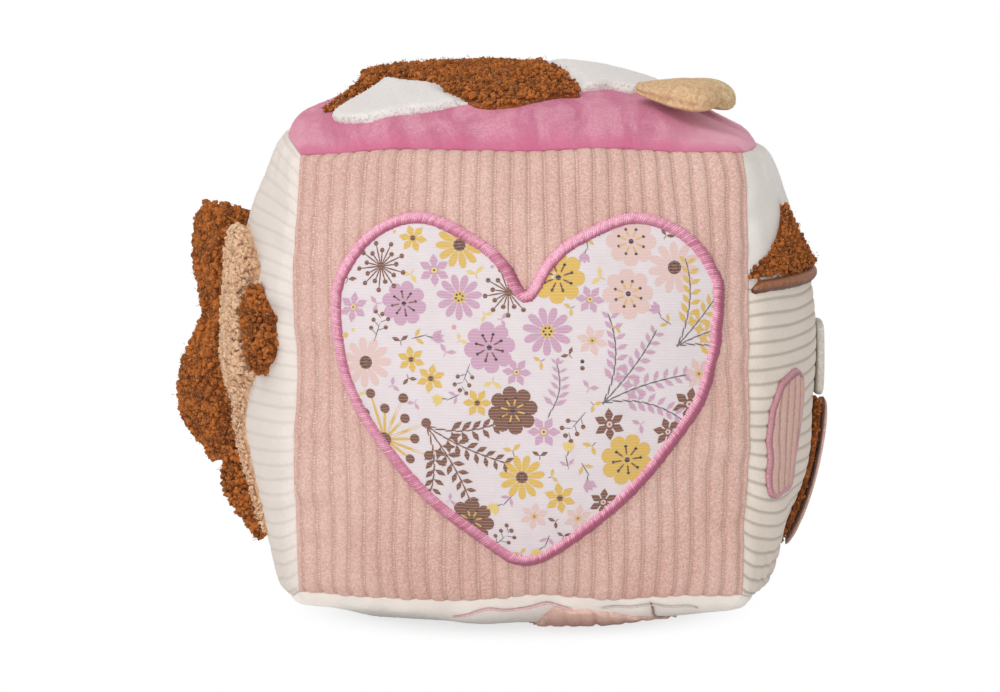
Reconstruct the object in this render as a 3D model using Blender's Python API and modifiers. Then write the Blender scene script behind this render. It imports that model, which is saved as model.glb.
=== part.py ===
"""Soft fabric block: a stuffed cube of six sewn faces with appliqued patches,
a padded heart, loose ear and mane flaps, and a rattle capsule inside.

Metres, +Z up. The block rests on z = 0 and its front face looks along -Y.
"""

import math

import bmesh
import bpy
from mathutils import Matrix, Vector
from mathutils.geometry import interpolate_bezier

# Block: a cube of seams, swollen outwards by its stuffing
BLOCK_EDGE = 0.113
BOTTOM_SEAM_HEIGHT = 0.011
FRONT_CROWN = 0.016
BACK_CROWN = 0.016
LEFT_CROWN = 0.019
RIGHT_CROWN = 0.021
TOP_CROWN = 0.0195
BOTTOM_CROWN = 0.017
FACE_EDGE_BOW = 0.001
RIGHT_EDGE_BOW = 0.003
LONG_EDGE_BOW = 0.005
TOP_RIGHT_EDGE_BOW = 0.0005
FORWARD_BOW = 0.004
SEAM_TUCK = 0.0015
SEAM_TUCK_REACH = 0.005
CROWN_POWER_SHARE = 2.2
BOW_POWER_SHARE = 4

# Fabrics and sewing
CORDUROY_THICKNESS = 0.0016
VELOUR_THICKNESS = 0.0014
PATCH_GAP = 0.0004
PANEL_SEAM_GAP = 0.00022
SATIN_WIDTH = 0.0031
SATIN_RISE = 0.0013
NARROW_SATIN_WIDTH = 0.0022
STITCH_WIDTH = 0.0012
STITCH_RISE = 0.0006
MERGE_DISTANCE = 0.00001

# Heart on the front face
HEART_WIDTH = 0.0952
HEART_HEIGHT = 0.083
HEART_SIDE_SHIFT = 0.0017
HEART_TIP_DROP = 0.0446
HEART_THICKNESS = 0.0008
HEART_HALF_SHARES = (
    (0.0, 0.775), (0.117, 0.865), (0.25, 0.93), (0.546, 1.0), (0.8, 0.955), (0.974, 0.839),
    (1.0, 0.72), (0.93, 0.53), (0.765, 0.357), (0.51, 0.193), (0.25, 0.075), (0.0, 0.0),
)

# Patches of the top face
HEAD_CENTRE = (-0.0039, -0.005)
HEAD_SIZE = (0.0768, 0.084)
HEAD_THICKNESS = 0.0012
HEAD_SHARES = (
    (-1.0, -0.857), (-0.94, -0.952), (-0.823, -1.0), (-0.706, -0.988), (-0.549, -0.952),
    (-0.406, -0.917), (-0.211, -0.869), (-0.029, -0.895), (0.076, -0.881), (0.206, -0.81),
    (0.336, -0.714), (0.474, -0.66), (0.57, -0.643), (0.661, -0.583), (0.779, -0.643),
    (0.844, -0.548), (0.896, -0.405), (0.987, -0.31), (1.0, -0.167), (0.935, 0.119),
    (0.883, 0.357), (0.701, 0.786), (0.336, 1.0), (-0.211, 1.0), (-0.654, 0.833),
    (-0.701, 0.31), (-0.701, 0.0), (-0.703, -0.262), (-0.776, -0.455), (-0.906, -0.7),
)
CREST_CENTRE = (-0.0076, -0.0164)
CREST_SIZE = (0.0432, 0.0548)
CREST_THICKNESS = 0.0016
CREST_SHARES = (
    (-0.19, -0.938), (-0.051, -0.989), (0.106, -1.0), (0.306, -0.978), (0.542, -0.865),
    (0.769, -0.723), (1.0, -0.668), (0.995, -0.573), (0.926, -0.332), (0.662, 0.058),
    (0.537, 0.599), (0.259, 0.891), (-0.204, 1.0), (-0.667, 0.927), (-0.972, 0.672),
    (-1.0, 0.307), (-0.898, -0.007), (-0.755, -0.252), (-0.556, -0.398), (-0.491, -0.613),
    (-0.347, -0.774),
)
TOP_MANE_CENTRE = (-0.0414, -0.014)
TOP_MANE_SIZE = (0.0112, 0.046)
TOP_MANE_WIDTH = 0.009
TOP_MANE_THICKNESS = 0.004
TOP_MANE_SHARES = (
    (-1.0, -1.0), (-0.339, -0.774), (0.518, -0.348), (1.0, 0.043), (0.982, 1.0),
)

# Two ears that point sideways from the top face; each angle is the ear's turn to the front
EAR_THICKNESS = 0.0065
EAR_ROOT_THICKNESS = 0.0024
EAR_UPPER_SHARE = 0.68
EAR_ROOT_LIFT = 0.0033
FRONT_EAR_ROOT = (0.0262, -0.031)
FRONT_EAR_LENGTH = 0.0218
FRONT_EAR_HALF_WIDTH = 0.0085
FRONT_EAR_ANGLE = math.radians(22)
FRONT_EAR_DROOP = math.radians(-1)
BACK_EAR_ROOT = (0.0329, -0.0197)
BACK_EAR_LENGTH = 0.0182
BACK_EAR_HALF_WIDTH = 0.0078
BACK_EAR_ANGLE = math.radians(3)
BACK_EAR_DROOP = math.radians(3.2)
EAR_WIDTH_SHARES = ((0.0, 0.42), (0.2, 0.72), (0.5, 1.0), (0.8, 0.93), (0.95, 0.62), (1.0, 0.3))

# Patches and mane lobes of the left face
TAN_CENTRE = (0.027, -0.00425)
TAN_SIZE = (0.031, 0.0715)
TAN_THICKNESS = 0.0046
TAN_SHARES = (
    (-0.903, 0.93), (-0.452, 1.0), (0.129, 0.958), (0.645, 0.86), (1.0, 0.776), (0.839, 0.65),
    (0.594, 0.552), (0.542, 0.427), (0.606, 0.287), (0.761, 0.152), (0.935, 0.069),
    (0.613, -0.063), (0.4, -0.287), (0.529, -0.497), (0.594, -0.664), (0.697, -0.804),
    (0.839, -1.0), (0.387, -0.944), (-0.065, -0.748), (-0.387, -0.497), (-0.71, -0.217),
    (-0.968, 0.063), (-1.0, 0.455), (-1.0, 0.734),
)
MUZZLE_CENTRE = (0.0444, 0.01035)
MUZZLE_SIZE = (0.0156, 0.0225)
MUZZLE_THICKNESS = 0.0036
MUZZLE_SHARES = (
    (0.026, 1.0), (0.333, 0.716), (0.821, 0.396), (1.0, 0.076), (0.936, -0.218),
    (0.705, -0.618), (0.205, -0.893), (-0.192, -1.0), (-0.577, -0.751), (-0.872, -0.351),
    (-1.0, 0.058), (-0.91, 0.413), (-0.436, 0.733),
)
MANE_TAIL_CENTRE = (0.0165, -0.0355)
MANE_TAIL_SIZE = (0.017, 0.014)
MANE_TAIL_WIDTH = 0.007
MANE_TAIL_THICKNESS = 0.0044
MANE_TAIL_SHARES = ((-1.0, 1.0), (-0.71, 0.36), (-0.06, -0.36), (1.0, -1.0))
MANE_ROOT_ACROSS = 0.0056
MANE_ROOT_LIFT = 0.0017
MANE_ROOT_SAG = 0.0011
MANE_REST_ANGLE = math.radians(40)
MANE_FLARE = 0.0015
MANE_FLEECE_THICKNESS = 0.0044
MANE_BACKING_THICKNESS = 0.0018
UPPER_MANE_FROM = 0.0106
UPPER_MANE_TO = 0.0345
UPPER_MANE_LENGTH = 0.0215
UPPER_MANE_SHARES = ((0.0, 0.72), (0.2, 0.85), (0.5, 1.0), (0.8, 0.97), (1.0, 0.7))
LOWER_MANE_FROM = -0.0245
LOWER_MANE_TO = 0.007
LOWER_MANE_LENGTH = 0.026
LOWER_MANE_SHARES = (
    (0.0, 0.45), (0.1, 0.52), (0.2, 0.8), (0.35, 1.0), (0.5, 1.0), (0.67, 0.94), (0.82, 0.76),
    (1.0, 0.58),
)

# Patches and hanging ear of the right face
RIGHT_SPLIT_HEIGHT = 0.022
RIGHT_SATIN_HALF_LENGTH = 0.0535
SPOT_CENTRE = (-0.0313, 0.0325)
SPOT_SIZE = (0.0486, 0.0168)
SPOT_THICKNESS = 0.0034
SPOT_SHARES = (
    (-1.0, -0.9), (-0.93, -0.62), (-0.69, -0.15), (-0.43, 0.4), (-0.17, 1.0), (0.02, 0.49),
    (0.28, -0.18), (0.63, -0.56), (1.0, -0.85), (0.98, -1.0), (0.46, -1.0), (0.0, -1.0),
    (-0.52, -1.0), (-0.95, -1.0),
)
ARCH_CENTRE = (-0.04185, -0.0151)
ARCH_SIZE = (0.0173, 0.028)
ARCH_THICKNESS = 0.0012
ARCH_SHARES = (
    (0.41, 1.0), (-0.249, 0.886), (-0.584, 0.764), (-0.838, 0.393), (-1.0, -0.136),
    (-0.988, -0.714), (-0.85, -1.0), (-0.133, -0.95), (0.699, -0.857), (0.769, -0.35),
    (0.873, 0.221), (1.0, 0.721), (0.838, 0.921),
)
SIDE_EAR_TOP = 0.0085
SIDE_EAR_SPLIT = -0.0105
SIDE_EAR_TIP = -0.046
SIDE_EAR_ACROSS = 0.008
SIDE_EAR_HALF_WIDTH = 0.013
SIDE_EAR_ROOT_THICKNESS = 0.0026
SIDE_EAR_FLEECE_THICKNESS = 0.0038
SIDE_EAR_LINING_THICKNESS = 0.0014
SIDE_EAR_ROOT_SHARES = ((0.0, 0.5), (0.5, 0.6), (1.0, 0.72))
SIDE_EAR_SHARES = ((0.0, 0.74), (0.25, 0.96), (0.5, 1.0), (0.75, 0.82), (0.92, 0.5), (1.0, 0.26))

# Patch and stitching of the bottom face; the block rests on the patch
BASE_PATCH_CENTRE = (0.012, 0.00525)
BASE_PATCH_SIZE = (0.052, 0.0925)
BASE_PATCH_THICKNESS = 0.0006
BASE_PATCH_SHARES = (
    (-0.308, 0.978), (-0.077, 1.0), (0.231, 0.946), (0.577, 0.805), (0.846, 0.6), (1.0, 0.211),
    (0.962, -0.222), (0.769, -0.632), (0.385, -0.914), (-0.154, -1.0), (-0.692, -0.892),
    (-0.962, -0.589), (-1.0, -0.114), (-0.885, 0.319), (-0.654, 0.708), (-0.462, 0.903),
)
BASE_LINE_CENTRE = (0.0135, 0.05055)
BASE_LINE_SIZE = (0.0596, 0.0081)
BASE_LINE_SHARES = (
    (-1.0, -1.0), (-0.883, 0.235), (-0.685, 0.679), (-0.48, 0.16), (-0.258, 0.679),
    (-0.017, 0.605), (0.215, 0.704), (0.544, 1.0), (0.943, 0.358), (1.0, -0.235),
)

# Stuffing and rattle
STUFFING_GAP = 0.0003
RATTLE_RADIUS = 0.018
RATTLE_HALF_HEIGHT = 0.013
RATTLE_WALL = 0.0016
RATTLE_ROUNDING = 0.005
RATTLE_GAP = 0.0003
BEAD_RADIUS = 0.0026
BEAD_RING_RADIUS = 0.0062
BEAD_RING_COUNT = 4

# Places that follow from the sizes above
BLOCK_HALF = BLOCK_EDGE / 2
BLOCK_CENTRE_HEIGHT = BLOCK_HALF + BOTTOM_SEAM_HEIGHT
SWELL_REACH = BLOCK_HALF + TOP_CROWN
PANEL_FLOOR = PATCH_GAP + BASE_PATCH_THICKNESS

# Grid lines of a panel, as shares of the half edge, closer together at the seams
PANEL_LINE_SHARES = (0.0, 0.25, 0.5, 0.7, 0.85, 0.95, 1.0)
STUFFING_CUTS = 7
CURVE_STEPS = 4
OPEN_PATH_STEPS = 5
TURN_STEPS = 28

# Each face: outward normal, the direction of its "across" and of its "up", and its crown
FACES = {
    "front": (Vector((0, -1, 0)), Vector((1, 0, 0)), Vector((0, 0, 1)), FRONT_CROWN),
    "back": (Vector((0, 1, 0)), Vector((-1, 0, 0)), Vector((0, 0, 1)), BACK_CROWN),
    "left": (Vector((-1, 0, 0)), Vector((0, -1, 0)), Vector((0, 0, 1)), LEFT_CROWN),
    "right": (Vector((1, 0, 0)), Vector((0, 1, 0)), Vector((0, 0, 1)), RIGHT_CROWN),
    "top": (Vector((0, 0, 1)), Vector((1, 0, 0)), Vector((0, 1, 0)), TOP_CROWN),
    "bottom": (Vector((0, 0, -1)), Vector((1, 0, 0)), Vector((0, -1, 0)), BOTTOM_CROWN),
}


def clear_scene():
    for old in list(bpy.data.objects):
        bpy.data.objects.remove(old, do_unlink=True)


def new_collection(name):
    collection = bpy.data.collections.new(name)
    bpy.context.scene.collection.children.link(collection)
    return collection


def fabric(name, hex_colour, roughness, metallic=0.0):
    """A Principled material with an sRGB hex colour."""
    material = bpy.data.materials.new(name)
    material.use_nodes = True
    shader = material.node_tree.nodes["Principled BSDF"]
    channels = []
    for start in (0, 2, 4):
        value = int(hex_colour[start:start + 2], 16) / 255
        channels.append(value / 12.92 if value <= 0.04045 else ((value + 0.055) / 1.055) ** 2.4)
    shader.inputs["Base Color"].default_value = (*channels, 1.0)
    shader.inputs["Roughness"].default_value = roughness
    shader.inputs["Metallic"].default_value = metallic
    return material


def add_part(name, mesh, material, pivot=None):
    """Add a mesh as a named part, on its joint's empty if it has one."""
    part = bpy.data.objects.new(name, mesh)
    part.data.materials.append(material)
    BLOCK.objects.link(part)
    if pivot is not None:
        part.parent = pivot
        part.matrix_parent_inverse = Matrix.Translation(pivot.location).inverted()
    return part


def finish_mesh(name, bm):
    """Turn the faces outwards and write the mesh."""
    bmesh.ops.recalc_face_normals(bm, faces=bm.faces[:])
    if bm.calc_volume(signed=True) < 0:
        bmesh.ops.reverse_faces(bm, faces=bm.faces[:])
    mesh = bpy.data.meshes.new(name)
    bm.to_mesh(mesh)
    bm.free()
    mesh.shade_smooth()
    mesh.set_sharp_from_angle(angle=math.radians(40))
    return mesh


def add_pivot(name, place):
    pivot = bpy.data.objects.new(name, None)
    pivot.location = place
    pivot.empty_display_size = RATTLE_RADIUS
    BLOCK.objects.link(pivot)
    return pivot


# The swollen block's surface

def crown_share(across, up):
    rise_across = 1 - abs(across) ** CROWN_POWER_SHARE
    return rise_across * (1 - abs(up) ** CROWN_POWER_SHARE)


def bow_share(along):
    return 1 - abs(along) ** BOW_POWER_SHARE


def swollen_cube(cube):
    """A point of the unit cube, at its real size, with the seams bowed outwards."""
    x, y, z = cube
    side_bow = RIGHT_EDGE_BOW if x > 0 else FACE_EDGE_BOW
    rise_bow = TOP_RIGHT_EDGE_BOW if x > 0 and z > 0 else LONG_EDGE_BOW
    bow_x = y * y * side_bow * bow_share(z) + z * z * LONG_EDGE_BOW * bow_share(y)
    bow_y = (x * x * bow_share(z) + z * z * bow_share(x)) * FORWARD_BOW
    bow_z = y * y * FACE_EDGE_BOW * bow_share(x) + x * x * rise_bow * bow_share(y)
    return Vector((
        x * (BLOCK_HALF + bow_x),
        y * (BLOCK_HALF + bow_y),
        z * (BLOCK_HALF + bow_z),
    ))


def on_block(face, across, up, height):
    """The place `height` outside a face's cloth, at (across, up) from the face's middle."""
    normal, right, rise, crown = FACES[face]
    s = across / BLOCK_HALF
    t = up / BLOCK_HALF
    place = swollen_cube(normal + right * s + rise * t)
    place += normal * crown * crown_share(s, t)
    from_seam = BLOCK_HALF * (1 - max(abs(s), abs(t)))
    tuck = SEAM_TUCK * max(0.0, 1 - from_seam / SEAM_TUCK_REACH) ** 2
    place *= 1 + (height - tuck) / SWELL_REACH
    place.z = max(place.z + BLOCK_CENTRE_HEIGHT, PANEL_FLOOR - height)
    return place


def grid_lines():
    """Panel grid lines across a whole face, in metres from its middle."""
    outer = [share * BLOCK_HALF for share in PANEL_LINE_SHARES]
    return [-line for line in reversed(outer[1:])] + outer


# Ways of making a piece

def layered_solid(name, columns, rows, place, closed=False):
    """A sheet of columns x rows points with a lower and an upper side.

    place(column, row, side) gives each point; side is 0 below and 1 above.
    A closed sheet joins its last column to its first.
    """
    spans = columns if closed else columns - 1
    bm = bmesh.new()
    bmesh.ops.create_grid(bm, x_segments=spans, y_segments=rows - 1, size=1)
    index = {}
    for vertex in bm.verts:
        column = round((vertex.co.x + 1) / 2 * spans)
        row = round((vertex.co.y + 1) / 2 * (rows - 1))
        index[vertex] = (column, row)
    if closed:
        first = {row: vertex for vertex, (column, row) in index.items() if column == 0}
        joined = {v: first[row] for v, (column, row) in index.items() if column == spans}
        bmesh.ops.weld_verts(bm, targetmap=joined)
    lower = {vertex: index[vertex] for vertex in bm.verts}
    flat = {vertex.co.to_tuple(5): key for vertex, key in lower.items()}
    made = bmesh.ops.extrude_face_region(bm, geom=bm.faces[:])
    upper = [item for item in made["geom"] if isinstance(item, bmesh.types.BMVert)]
    upper_keys = {vertex: flat[vertex.co.to_tuple(5)] for vertex in upper}
    for vertex, (column, row) in upper_keys.items():
        vertex.co = place(column, row, 1)
    for vertex, (column, row) in lower.items():
        if vertex not in upper_keys:
            vertex.co = place(column, row, 0)
    return finish_mesh(name, bm)


def smooth_path(points, steps, closed):
    """Points along a smooth curve through the given ones."""
    count = len(points)
    knots = [Vector((x, y, 0)) for x, y in points]

    def slope(i):
        before = knots[(i - 1) % count] if closed else knots[max(i - 1, 0)]
        after = knots[(i + 1) % count] if closed else knots[min(i + 1, count - 1)]
        return (after - before) / 6

    path = []
    for i in range(count if closed else count - 1):
        j = (i + 1) % count
        piece = interpolate_bezier(
            knots[i], knots[i] + slope(i), knots[j] - slope(j), knots[j], steps + 1)
        path.extend(piece[:-1])
    if not closed:
        path.append(knots[-1])
    return [(point.x, point.y) for point in path]


def path_normal(path, i, closed):
    """Unit normal, to the left of the path's run, at one of its points."""
    count = len(path)
    before = path[(i - 1) % count] if closed else path[max(i - 1, 0)]
    after = path[(i + 1) % count] if closed else path[min(i + 1, count - 1)]
    run = Vector((after[0] - before[0], after[1] - before[1])).normalized()
    return Vector((-run.y, run.x))


def loop_turn(path):
    """+1 for a loop that runs anticlockwise, else -1."""
    area = 0.0
    for i, (x, y) in enumerate(path):
        next_x, next_y = path[(i + 1) % len(path)]
        area += x * next_y - next_x * y
    return 1 if area > 0 else -1


def drawn_in(path, distance):
    """A closed path moved inwards by a distance."""
    turn = loop_turn(path)
    moved = []
    for i, (x, y) in enumerate(path):
        normal = path_normal(path, i, True) * distance * turn
        moved.append((x + normal.x, y + normal.y))
    return moved


def placed(shares, centre, size):
    """Shares of a piece's half width and half height, as points on its face."""
    return [(centre[0] + x * size[0] / 2, centre[1] + y * size[1] / 2) for x, y in shares]


def cut_patch(name, face, outline, low, thickness, material):
    """A patch of cloth cut to an outline and laid on a face, `low` above its cloth."""
    curve = bpy.data.curves.new(name, "CURVE")
    curve.dimensions = "2D"
    curve.fill_mode = "BOTH"
    curve.extrude = thickness / 2
    curve.render_resolution_u = 0
    spline = curve.splines.new("POLY")
    spline.points.add(len(outline) - 1)
    for point, (x, y) in zip(spline.points, outline):
        point.co = (x, y, 0, 1)
    spline.use_cyclic_u = True
    guide = bpy.data.objects.new(name + "_outline", curve)
    CUTTERS.objects.link(guide)
    flat = bpy.data.meshes.new_from_object(
        guide.evaluated_get(bpy.context.evaluated_depsgraph_get()))
    bpy.data.objects.remove(guide)
    bm = bmesh.new()
    bm.from_mesh(flat)
    bmesh.ops.remove_doubles(bm, verts=bm.verts[:], dist=MERGE_DISTANCE)
    bmesh.ops.dissolve_limit(
        bm, angle_limit=math.radians(0.05), verts=bm.verts[:], edges=bm.edges[:])
    for line in grid_lines()[1:-1]:
        for place, normal in (((line, 0, 0), (1, 0, 0)), ((0, line, 0), (0, 1, 0))):
            geometry = bm.verts[:] + bm.edges[:] + bm.faces[:]
            bmesh.ops.bisect_plane(
                bm, geom=geometry, dist=MERGE_DISTANCE / 10, plane_co=place, plane_no=normal)
    bmesh.ops.triangulate(bm, faces=bm.faces[:])
    for vertex in bm.verts:
        height = low + (thickness if vertex.co.z > 0 else 0.0)
        vertex.co = on_block(face, vertex.co.x, vertex.co.y, height)
    return add_part(name, finish_mesh(name, bm), material)


def sewn_band(name, face, path, closed, width, low, rise, material):
    """A raised band, such as a satin stitch border, along a path on a face."""
    crown_shares = (0.55, 1.0, 0.55)

    def place(column, row, side):
        x, y = path[column % len(path)]
        normal = path_normal(path, column % len(path), closed) * (row - 1) * width / 2
        height = low + side * rise * crown_shares[row]
        return on_block(face, x + normal.x, y + normal.y, height)

    mesh = layered_solid(name, len(path), len(crown_shares), place, closed)
    return add_part(name, mesh, material)


def share_at(table, where):
    """Read a table of (place share, value share) at a place, by straight lines."""
    for (low, low_value), (high, high_value) in zip(table, table[1:]):
        if where <= high:
            return low_value + (high_value - low_value) * (where - low) / (high - low)
    return table[-1][1]


# Sewn panels of the six faces

def sewn_panel(name, face, thickness, material, up_from=None, up_to=None):
    """One face's cloth, pulled a little short of its seams."""
    across_lines = grid_lines()
    up_lines = grid_lines()
    if up_from is not None:
        up_lines = [up_from] + [line for line in up_lines if line > up_from + SEAM_TUCK]
    if up_to is not None:
        up_lines = [line for line in up_lines if line < up_to - SEAM_TUCK] + [up_to]
    limit = BLOCK_HALF - PANEL_SEAM_GAP

    def place(column, row, side):
        across = max(-limit, min(limit, across_lines[column]))
        up = max(-limit, min(limit, up_lines[row]))
        return on_block(face, across, up, (side - 1) * thickness)

    mesh = layered_solid(name, len(across_lines), len(up_lines), place)
    return add_part(name, mesh, material)


def make_panels():
    pink_corduroy = fabric("pink_corduroy", "DDB3A4", 0.9)
    cream_corduroy = fabric("cream_corduroy", "E6DFD3", 0.9)
    rose_velour = fabric("rose_velour", "D07F9E", 0.75)
    white_velour = fabric("white_velour", "E4E0DC", 0.8)
    cream_velour = fabric("cream_velour", "E2DAD0", 0.8)
    sewn_panel("front_panel", "front", CORDUROY_THICKNESS, pink_corduroy)
    sewn_panel("back_panel", "back", CORDUROY_THICKNESS, pink_corduroy)
    sewn_panel("left_panel", "left", CORDUROY_THICKNESS, cream_corduroy)
    sewn_panel("top_panel", "top", VELOUR_THICKNESS, rose_velour)
    sewn_panel("bottom_panel", "bottom", VELOUR_THICKNESS, cream_velour)
    sewn_panel("right_panel_upper", "right", VELOUR_THICKNESS, white_velour,
               up_from=RIGHT_SPLIT_HEIGHT + PANEL_SEAM_GAP)
    sewn_panel("right_panel_lower", "right", CORDUROY_THICKNESS, cream_corduroy,
               up_to=RIGHT_SPLIT_HEIGHT - PANEL_SEAM_GAP)


# Heart with its satin stitched border

def make_heart():
    print_cotton = fabric("floral_cotton", "EFE6E4", 0.85)
    pink_satin = fabric("pink_satin", "DE7FAE", 0.35)
    right_side = [(x * HEART_WIDTH / 2, y * HEART_HEIGHT) for x, y in HEART_HALF_SHARES]
    left_side = [(-x, y) for x, y in reversed(right_side[1:-1])]
    outline = [(x + HEART_SIDE_SHIFT, y - HEART_TIP_DROP) for x, y in right_side + left_side]
    border = smooth_path(outline, CURVE_STEPS, True)
    sewn_band("heart_satin_edge", "front", border, True, SATIN_WIDTH, PATCH_GAP, SATIN_RISE,
              pink_satin)
    cloth = drawn_in(border, SATIN_WIDTH / 2 + PATCH_GAP)
    cut_patch("heart_patch", "front", cloth, PATCH_GAP, HEART_THICKNESS, print_cotton)


# Top face: plush head patch, fleece crest, mane strip and two ears

def leaf_solid(name, frame, length, half_width, side, material, pivot):
    """One half of an ear that tapers from its root and swells towards its round tip.

    frame is the matrix whose X runs along the ear, Y across it and Z out of it;
    side is +1 for the upper half and -1 for the lower one.
    """
    along_shares = [place for place, _ in EAR_WIDTH_SHARES]
    across_shares = (-1.0, -0.7, -0.35, 0.0, 0.35, 0.7, 1.0)

    def place(column, row, layer):
        p = along_shares[column]
        q = across_shares[row]
        width = half_width * share_at(EAR_WIDTH_SHARES, p)
        swell = EAR_ROOT_THICKNESS + (EAR_THICKNESS - EAR_ROOT_THICKNESS) * math.sin(
            math.pi * min(1.0, p + p * p / 2) / 2)
        round_off = math.sqrt(1 - (0.9 * q) ** 2) * math.sqrt(1 - (0.85 * p ** 4) ** 2)
        part_share = EAR_UPPER_SHARE if side > 0 else 1 - EAR_UPPER_SHARE
        thick = STUFFING_GAP / 2 + layer * swell * part_share * round_off
        return frame @ Vector((STUFFING_GAP + p * length, q * width, side * thick))

    mesh = layered_solid(name, len(along_shares), len(across_shares), place)
    return add_part(name, mesh, material, pivot)


def surface_normal(face, across, up):
    """Unit normal of a face's cloth at one place on it."""
    step = PATCH_GAP
    run = on_block(face, across + step, up, 0.0) - on_block(face, across - step, up, 0.0)
    rise = on_block(face, across, up + step, 0.0) - on_block(face, across, up - step, 0.0)
    return run.cross(rise).normalized()


def ear_frame(root, angle, droop):
    """Matrix at an ear's root: X along the ear, Y across it, Z out of its upper side."""
    normal = surface_normal("top", *root)
    along = Vector((math.cos(angle), -math.sin(angle), 0))
    along = (along - normal * along.dot(normal)).normalized()
    across = normal.cross(along)
    along = along * math.cos(droop) - normal * math.sin(droop)
    turn = Matrix((along, across, along.cross(across))).transposed().to_4x4()
    return Matrix.Translation(on_block("top", *root, EAR_ROOT_LIFT)) @ turn


def make_top_ear(name, root, angle, droop, length, half_width):
    tan_plush = fabric(name + "_tan_plush", "D9BD8D", 0.9)
    frame = ear_frame(root, angle, droop)
    pivot = add_pivot(name + "_hinge", frame.translation)
    leaf_solid(name + "_upper", frame, length, half_width, 1, tan_plush, pivot)
    leaf_solid(name + "_lower", frame, length, half_width, -1, tan_plush, pivot)


def make_top():
    white_plush = fabric("white_plush", "DAD6D1", 0.9)
    brown_fleece = fabric("brown_fleece", "B4652C", 0.95)
    head = smooth_path(placed(HEAD_SHARES, HEAD_CENTRE, HEAD_SIZE), CURVE_STEPS, True)
    cut_patch("top_head_patch", "top", head, PATCH_GAP, HEAD_THICKNESS, white_plush)
    crest = smooth_path(placed(CREST_SHARES, CREST_CENTRE, CREST_SIZE), CURVE_STEPS, True)
    cut_patch("top_crest_fleece", "top", crest, PATCH_GAP + HEAD_THICKNESS + PATCH_GAP,
              CREST_THICKNESS, brown_fleece)
    mane_points = placed(TOP_MANE_SHARES, TOP_MANE_CENTRE, TOP_MANE_SIZE)
    mane = smooth_path(mane_points, OPEN_PATH_STEPS, False)
    sewn_band("top_mane_strip", "top", mane, False, TOP_MANE_WIDTH, PATCH_GAP,
              TOP_MANE_THICKNESS, brown_fleece)
    make_top_ear("top_ear_front", FRONT_EAR_ROOT, FRONT_EAR_ANGLE, FRONT_EAR_DROOP,
                 FRONT_EAR_LENGTH, FRONT_EAR_HALF_WIDTH)
    make_top_ear("top_ear_back", BACK_EAR_ROOT, BACK_EAR_ANGLE, BACK_EAR_DROOP,
                 BACK_EAR_LENGTH, BACK_EAR_HALF_WIDTH)


# Left face: fleece patches and two mane lobes that swing on their sewn roots

def mane_frame(root_from, root_to):
    """Matrix of a lobe: X up its root, Y out along the lobe, Z out of its curly side."""
    low = on_block("left", MANE_ROOT_ACROSS, root_from, MANE_ROOT_LIFT)
    high = on_block("left", MANE_ROOT_ACROSS, root_to, MANE_ROOT_LIFT)
    up = (high - low).normalized()
    outward = Vector((-math.sin(MANE_REST_ANGLE), math.cos(MANE_REST_ANGLE), 0))
    outward = (outward - up * outward.dot(up)).normalized()
    face = up.cross(outward)
    turn = Matrix((up, outward, face)).transposed().to_4x4()
    return Matrix.Translation((low + high) / 2) @ turn, (high - low).length


def make_mane_lobe(name, root_from, root_to, length, outline_shares):
    brown_fleece = fabric(name + "_brown_fleece", "B4652C", 0.95)
    tan_velour = fabric(name + "_tan_velour", "C79A6B", 0.9)
    frame, root_length = mane_frame(root_from, root_to)
    pivot = add_pivot(name + "_hinge", frame.translation)
    root_shares = (0.0, 0.1, 0.25, 0.42, 0.58, 0.75, 0.9, 1.0)
    out_shares = (0.0, 0.12, 0.3, 0.55, 0.8, 1.0)

    def lobe(thickness, side):
        def place(column, row, layer):
            p = root_shares[column]
            q = out_shares[row]
            centred = 2 * p - 1
            sag = -MANE_ROOT_SAG * centred ** 2
            reach = length * share_at(outline_shares, p)
            out = sag + q * (reach - sag)
            along = centred * (root_length / 2 + MANE_FLARE * math.sin(math.pi * q / 2))
            swell = (0.3 + 0.7 * min(1.0, q / 0.3)) * (1 - 0.35 * max(0.0, q - 0.6) / 0.4)
            swell *= 1 - 0.4 * centred ** 4
            height = side * (STUFFING_GAP / 2 + layer * thickness * swell)
            return frame @ Vector((along, out, height))
        return place

    size = (len(root_shares), len(out_shares))
    fleece = layered_solid(name + "_fleece", *size, lobe(MANE_FLEECE_THICKNESS, 1))
    add_part(name + "_fleece", fleece, brown_fleece, pivot)
    backing = layered_solid(name + "_backing", *size, lobe(MANE_BACKING_THICKNESS, -1))
    add_part(name + "_backing", backing, tan_velour, pivot)


def make_left():
    champagne_fleece = fabric("champagne_fleece", "DBB998", 0.95)
    brown_fleece = fabric("left_brown_fleece", "B4652C", 0.95)
    tan = smooth_path(placed(TAN_SHARES, TAN_CENTRE, TAN_SIZE), CURVE_STEPS, True)
    cut_patch("left_tan_patch", "left", tan, PATCH_GAP, TAN_THICKNESS, champagne_fleece)
    muzzle = smooth_path(placed(MUZZLE_SHARES, MUZZLE_CENTRE, MUZZLE_SIZE), CURVE_STEPS, True)
    cut_patch("left_brown_patch", "left", muzzle, PATCH_GAP, MUZZLE_THICKNESS, brown_fleece)
    tail_points = placed(MANE_TAIL_SHARES, MANE_TAIL_CENTRE, MANE_TAIL_SIZE)
    tail = smooth_path(tail_points, OPEN_PATH_STEPS, False)
    sewn_band("left_mane_tail", "left", tail, False, MANE_TAIL_WIDTH, PATCH_GAP,
              MANE_TAIL_THICKNESS, brown_fleece)
    make_mane_lobe("left_mane_upper", UPPER_MANE_FROM, UPPER_MANE_TO, UPPER_MANE_LENGTH,
                   UPPER_MANE_SHARES)
    make_mane_lobe("left_mane_lower", LOWER_MANE_FROM, LOWER_MANE_TO, LOWER_MANE_LENGTH,
                   LOWER_MANE_SHARES)


# Right face: fleece spot, satin line, stitched arch and the hanging ear

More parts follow.
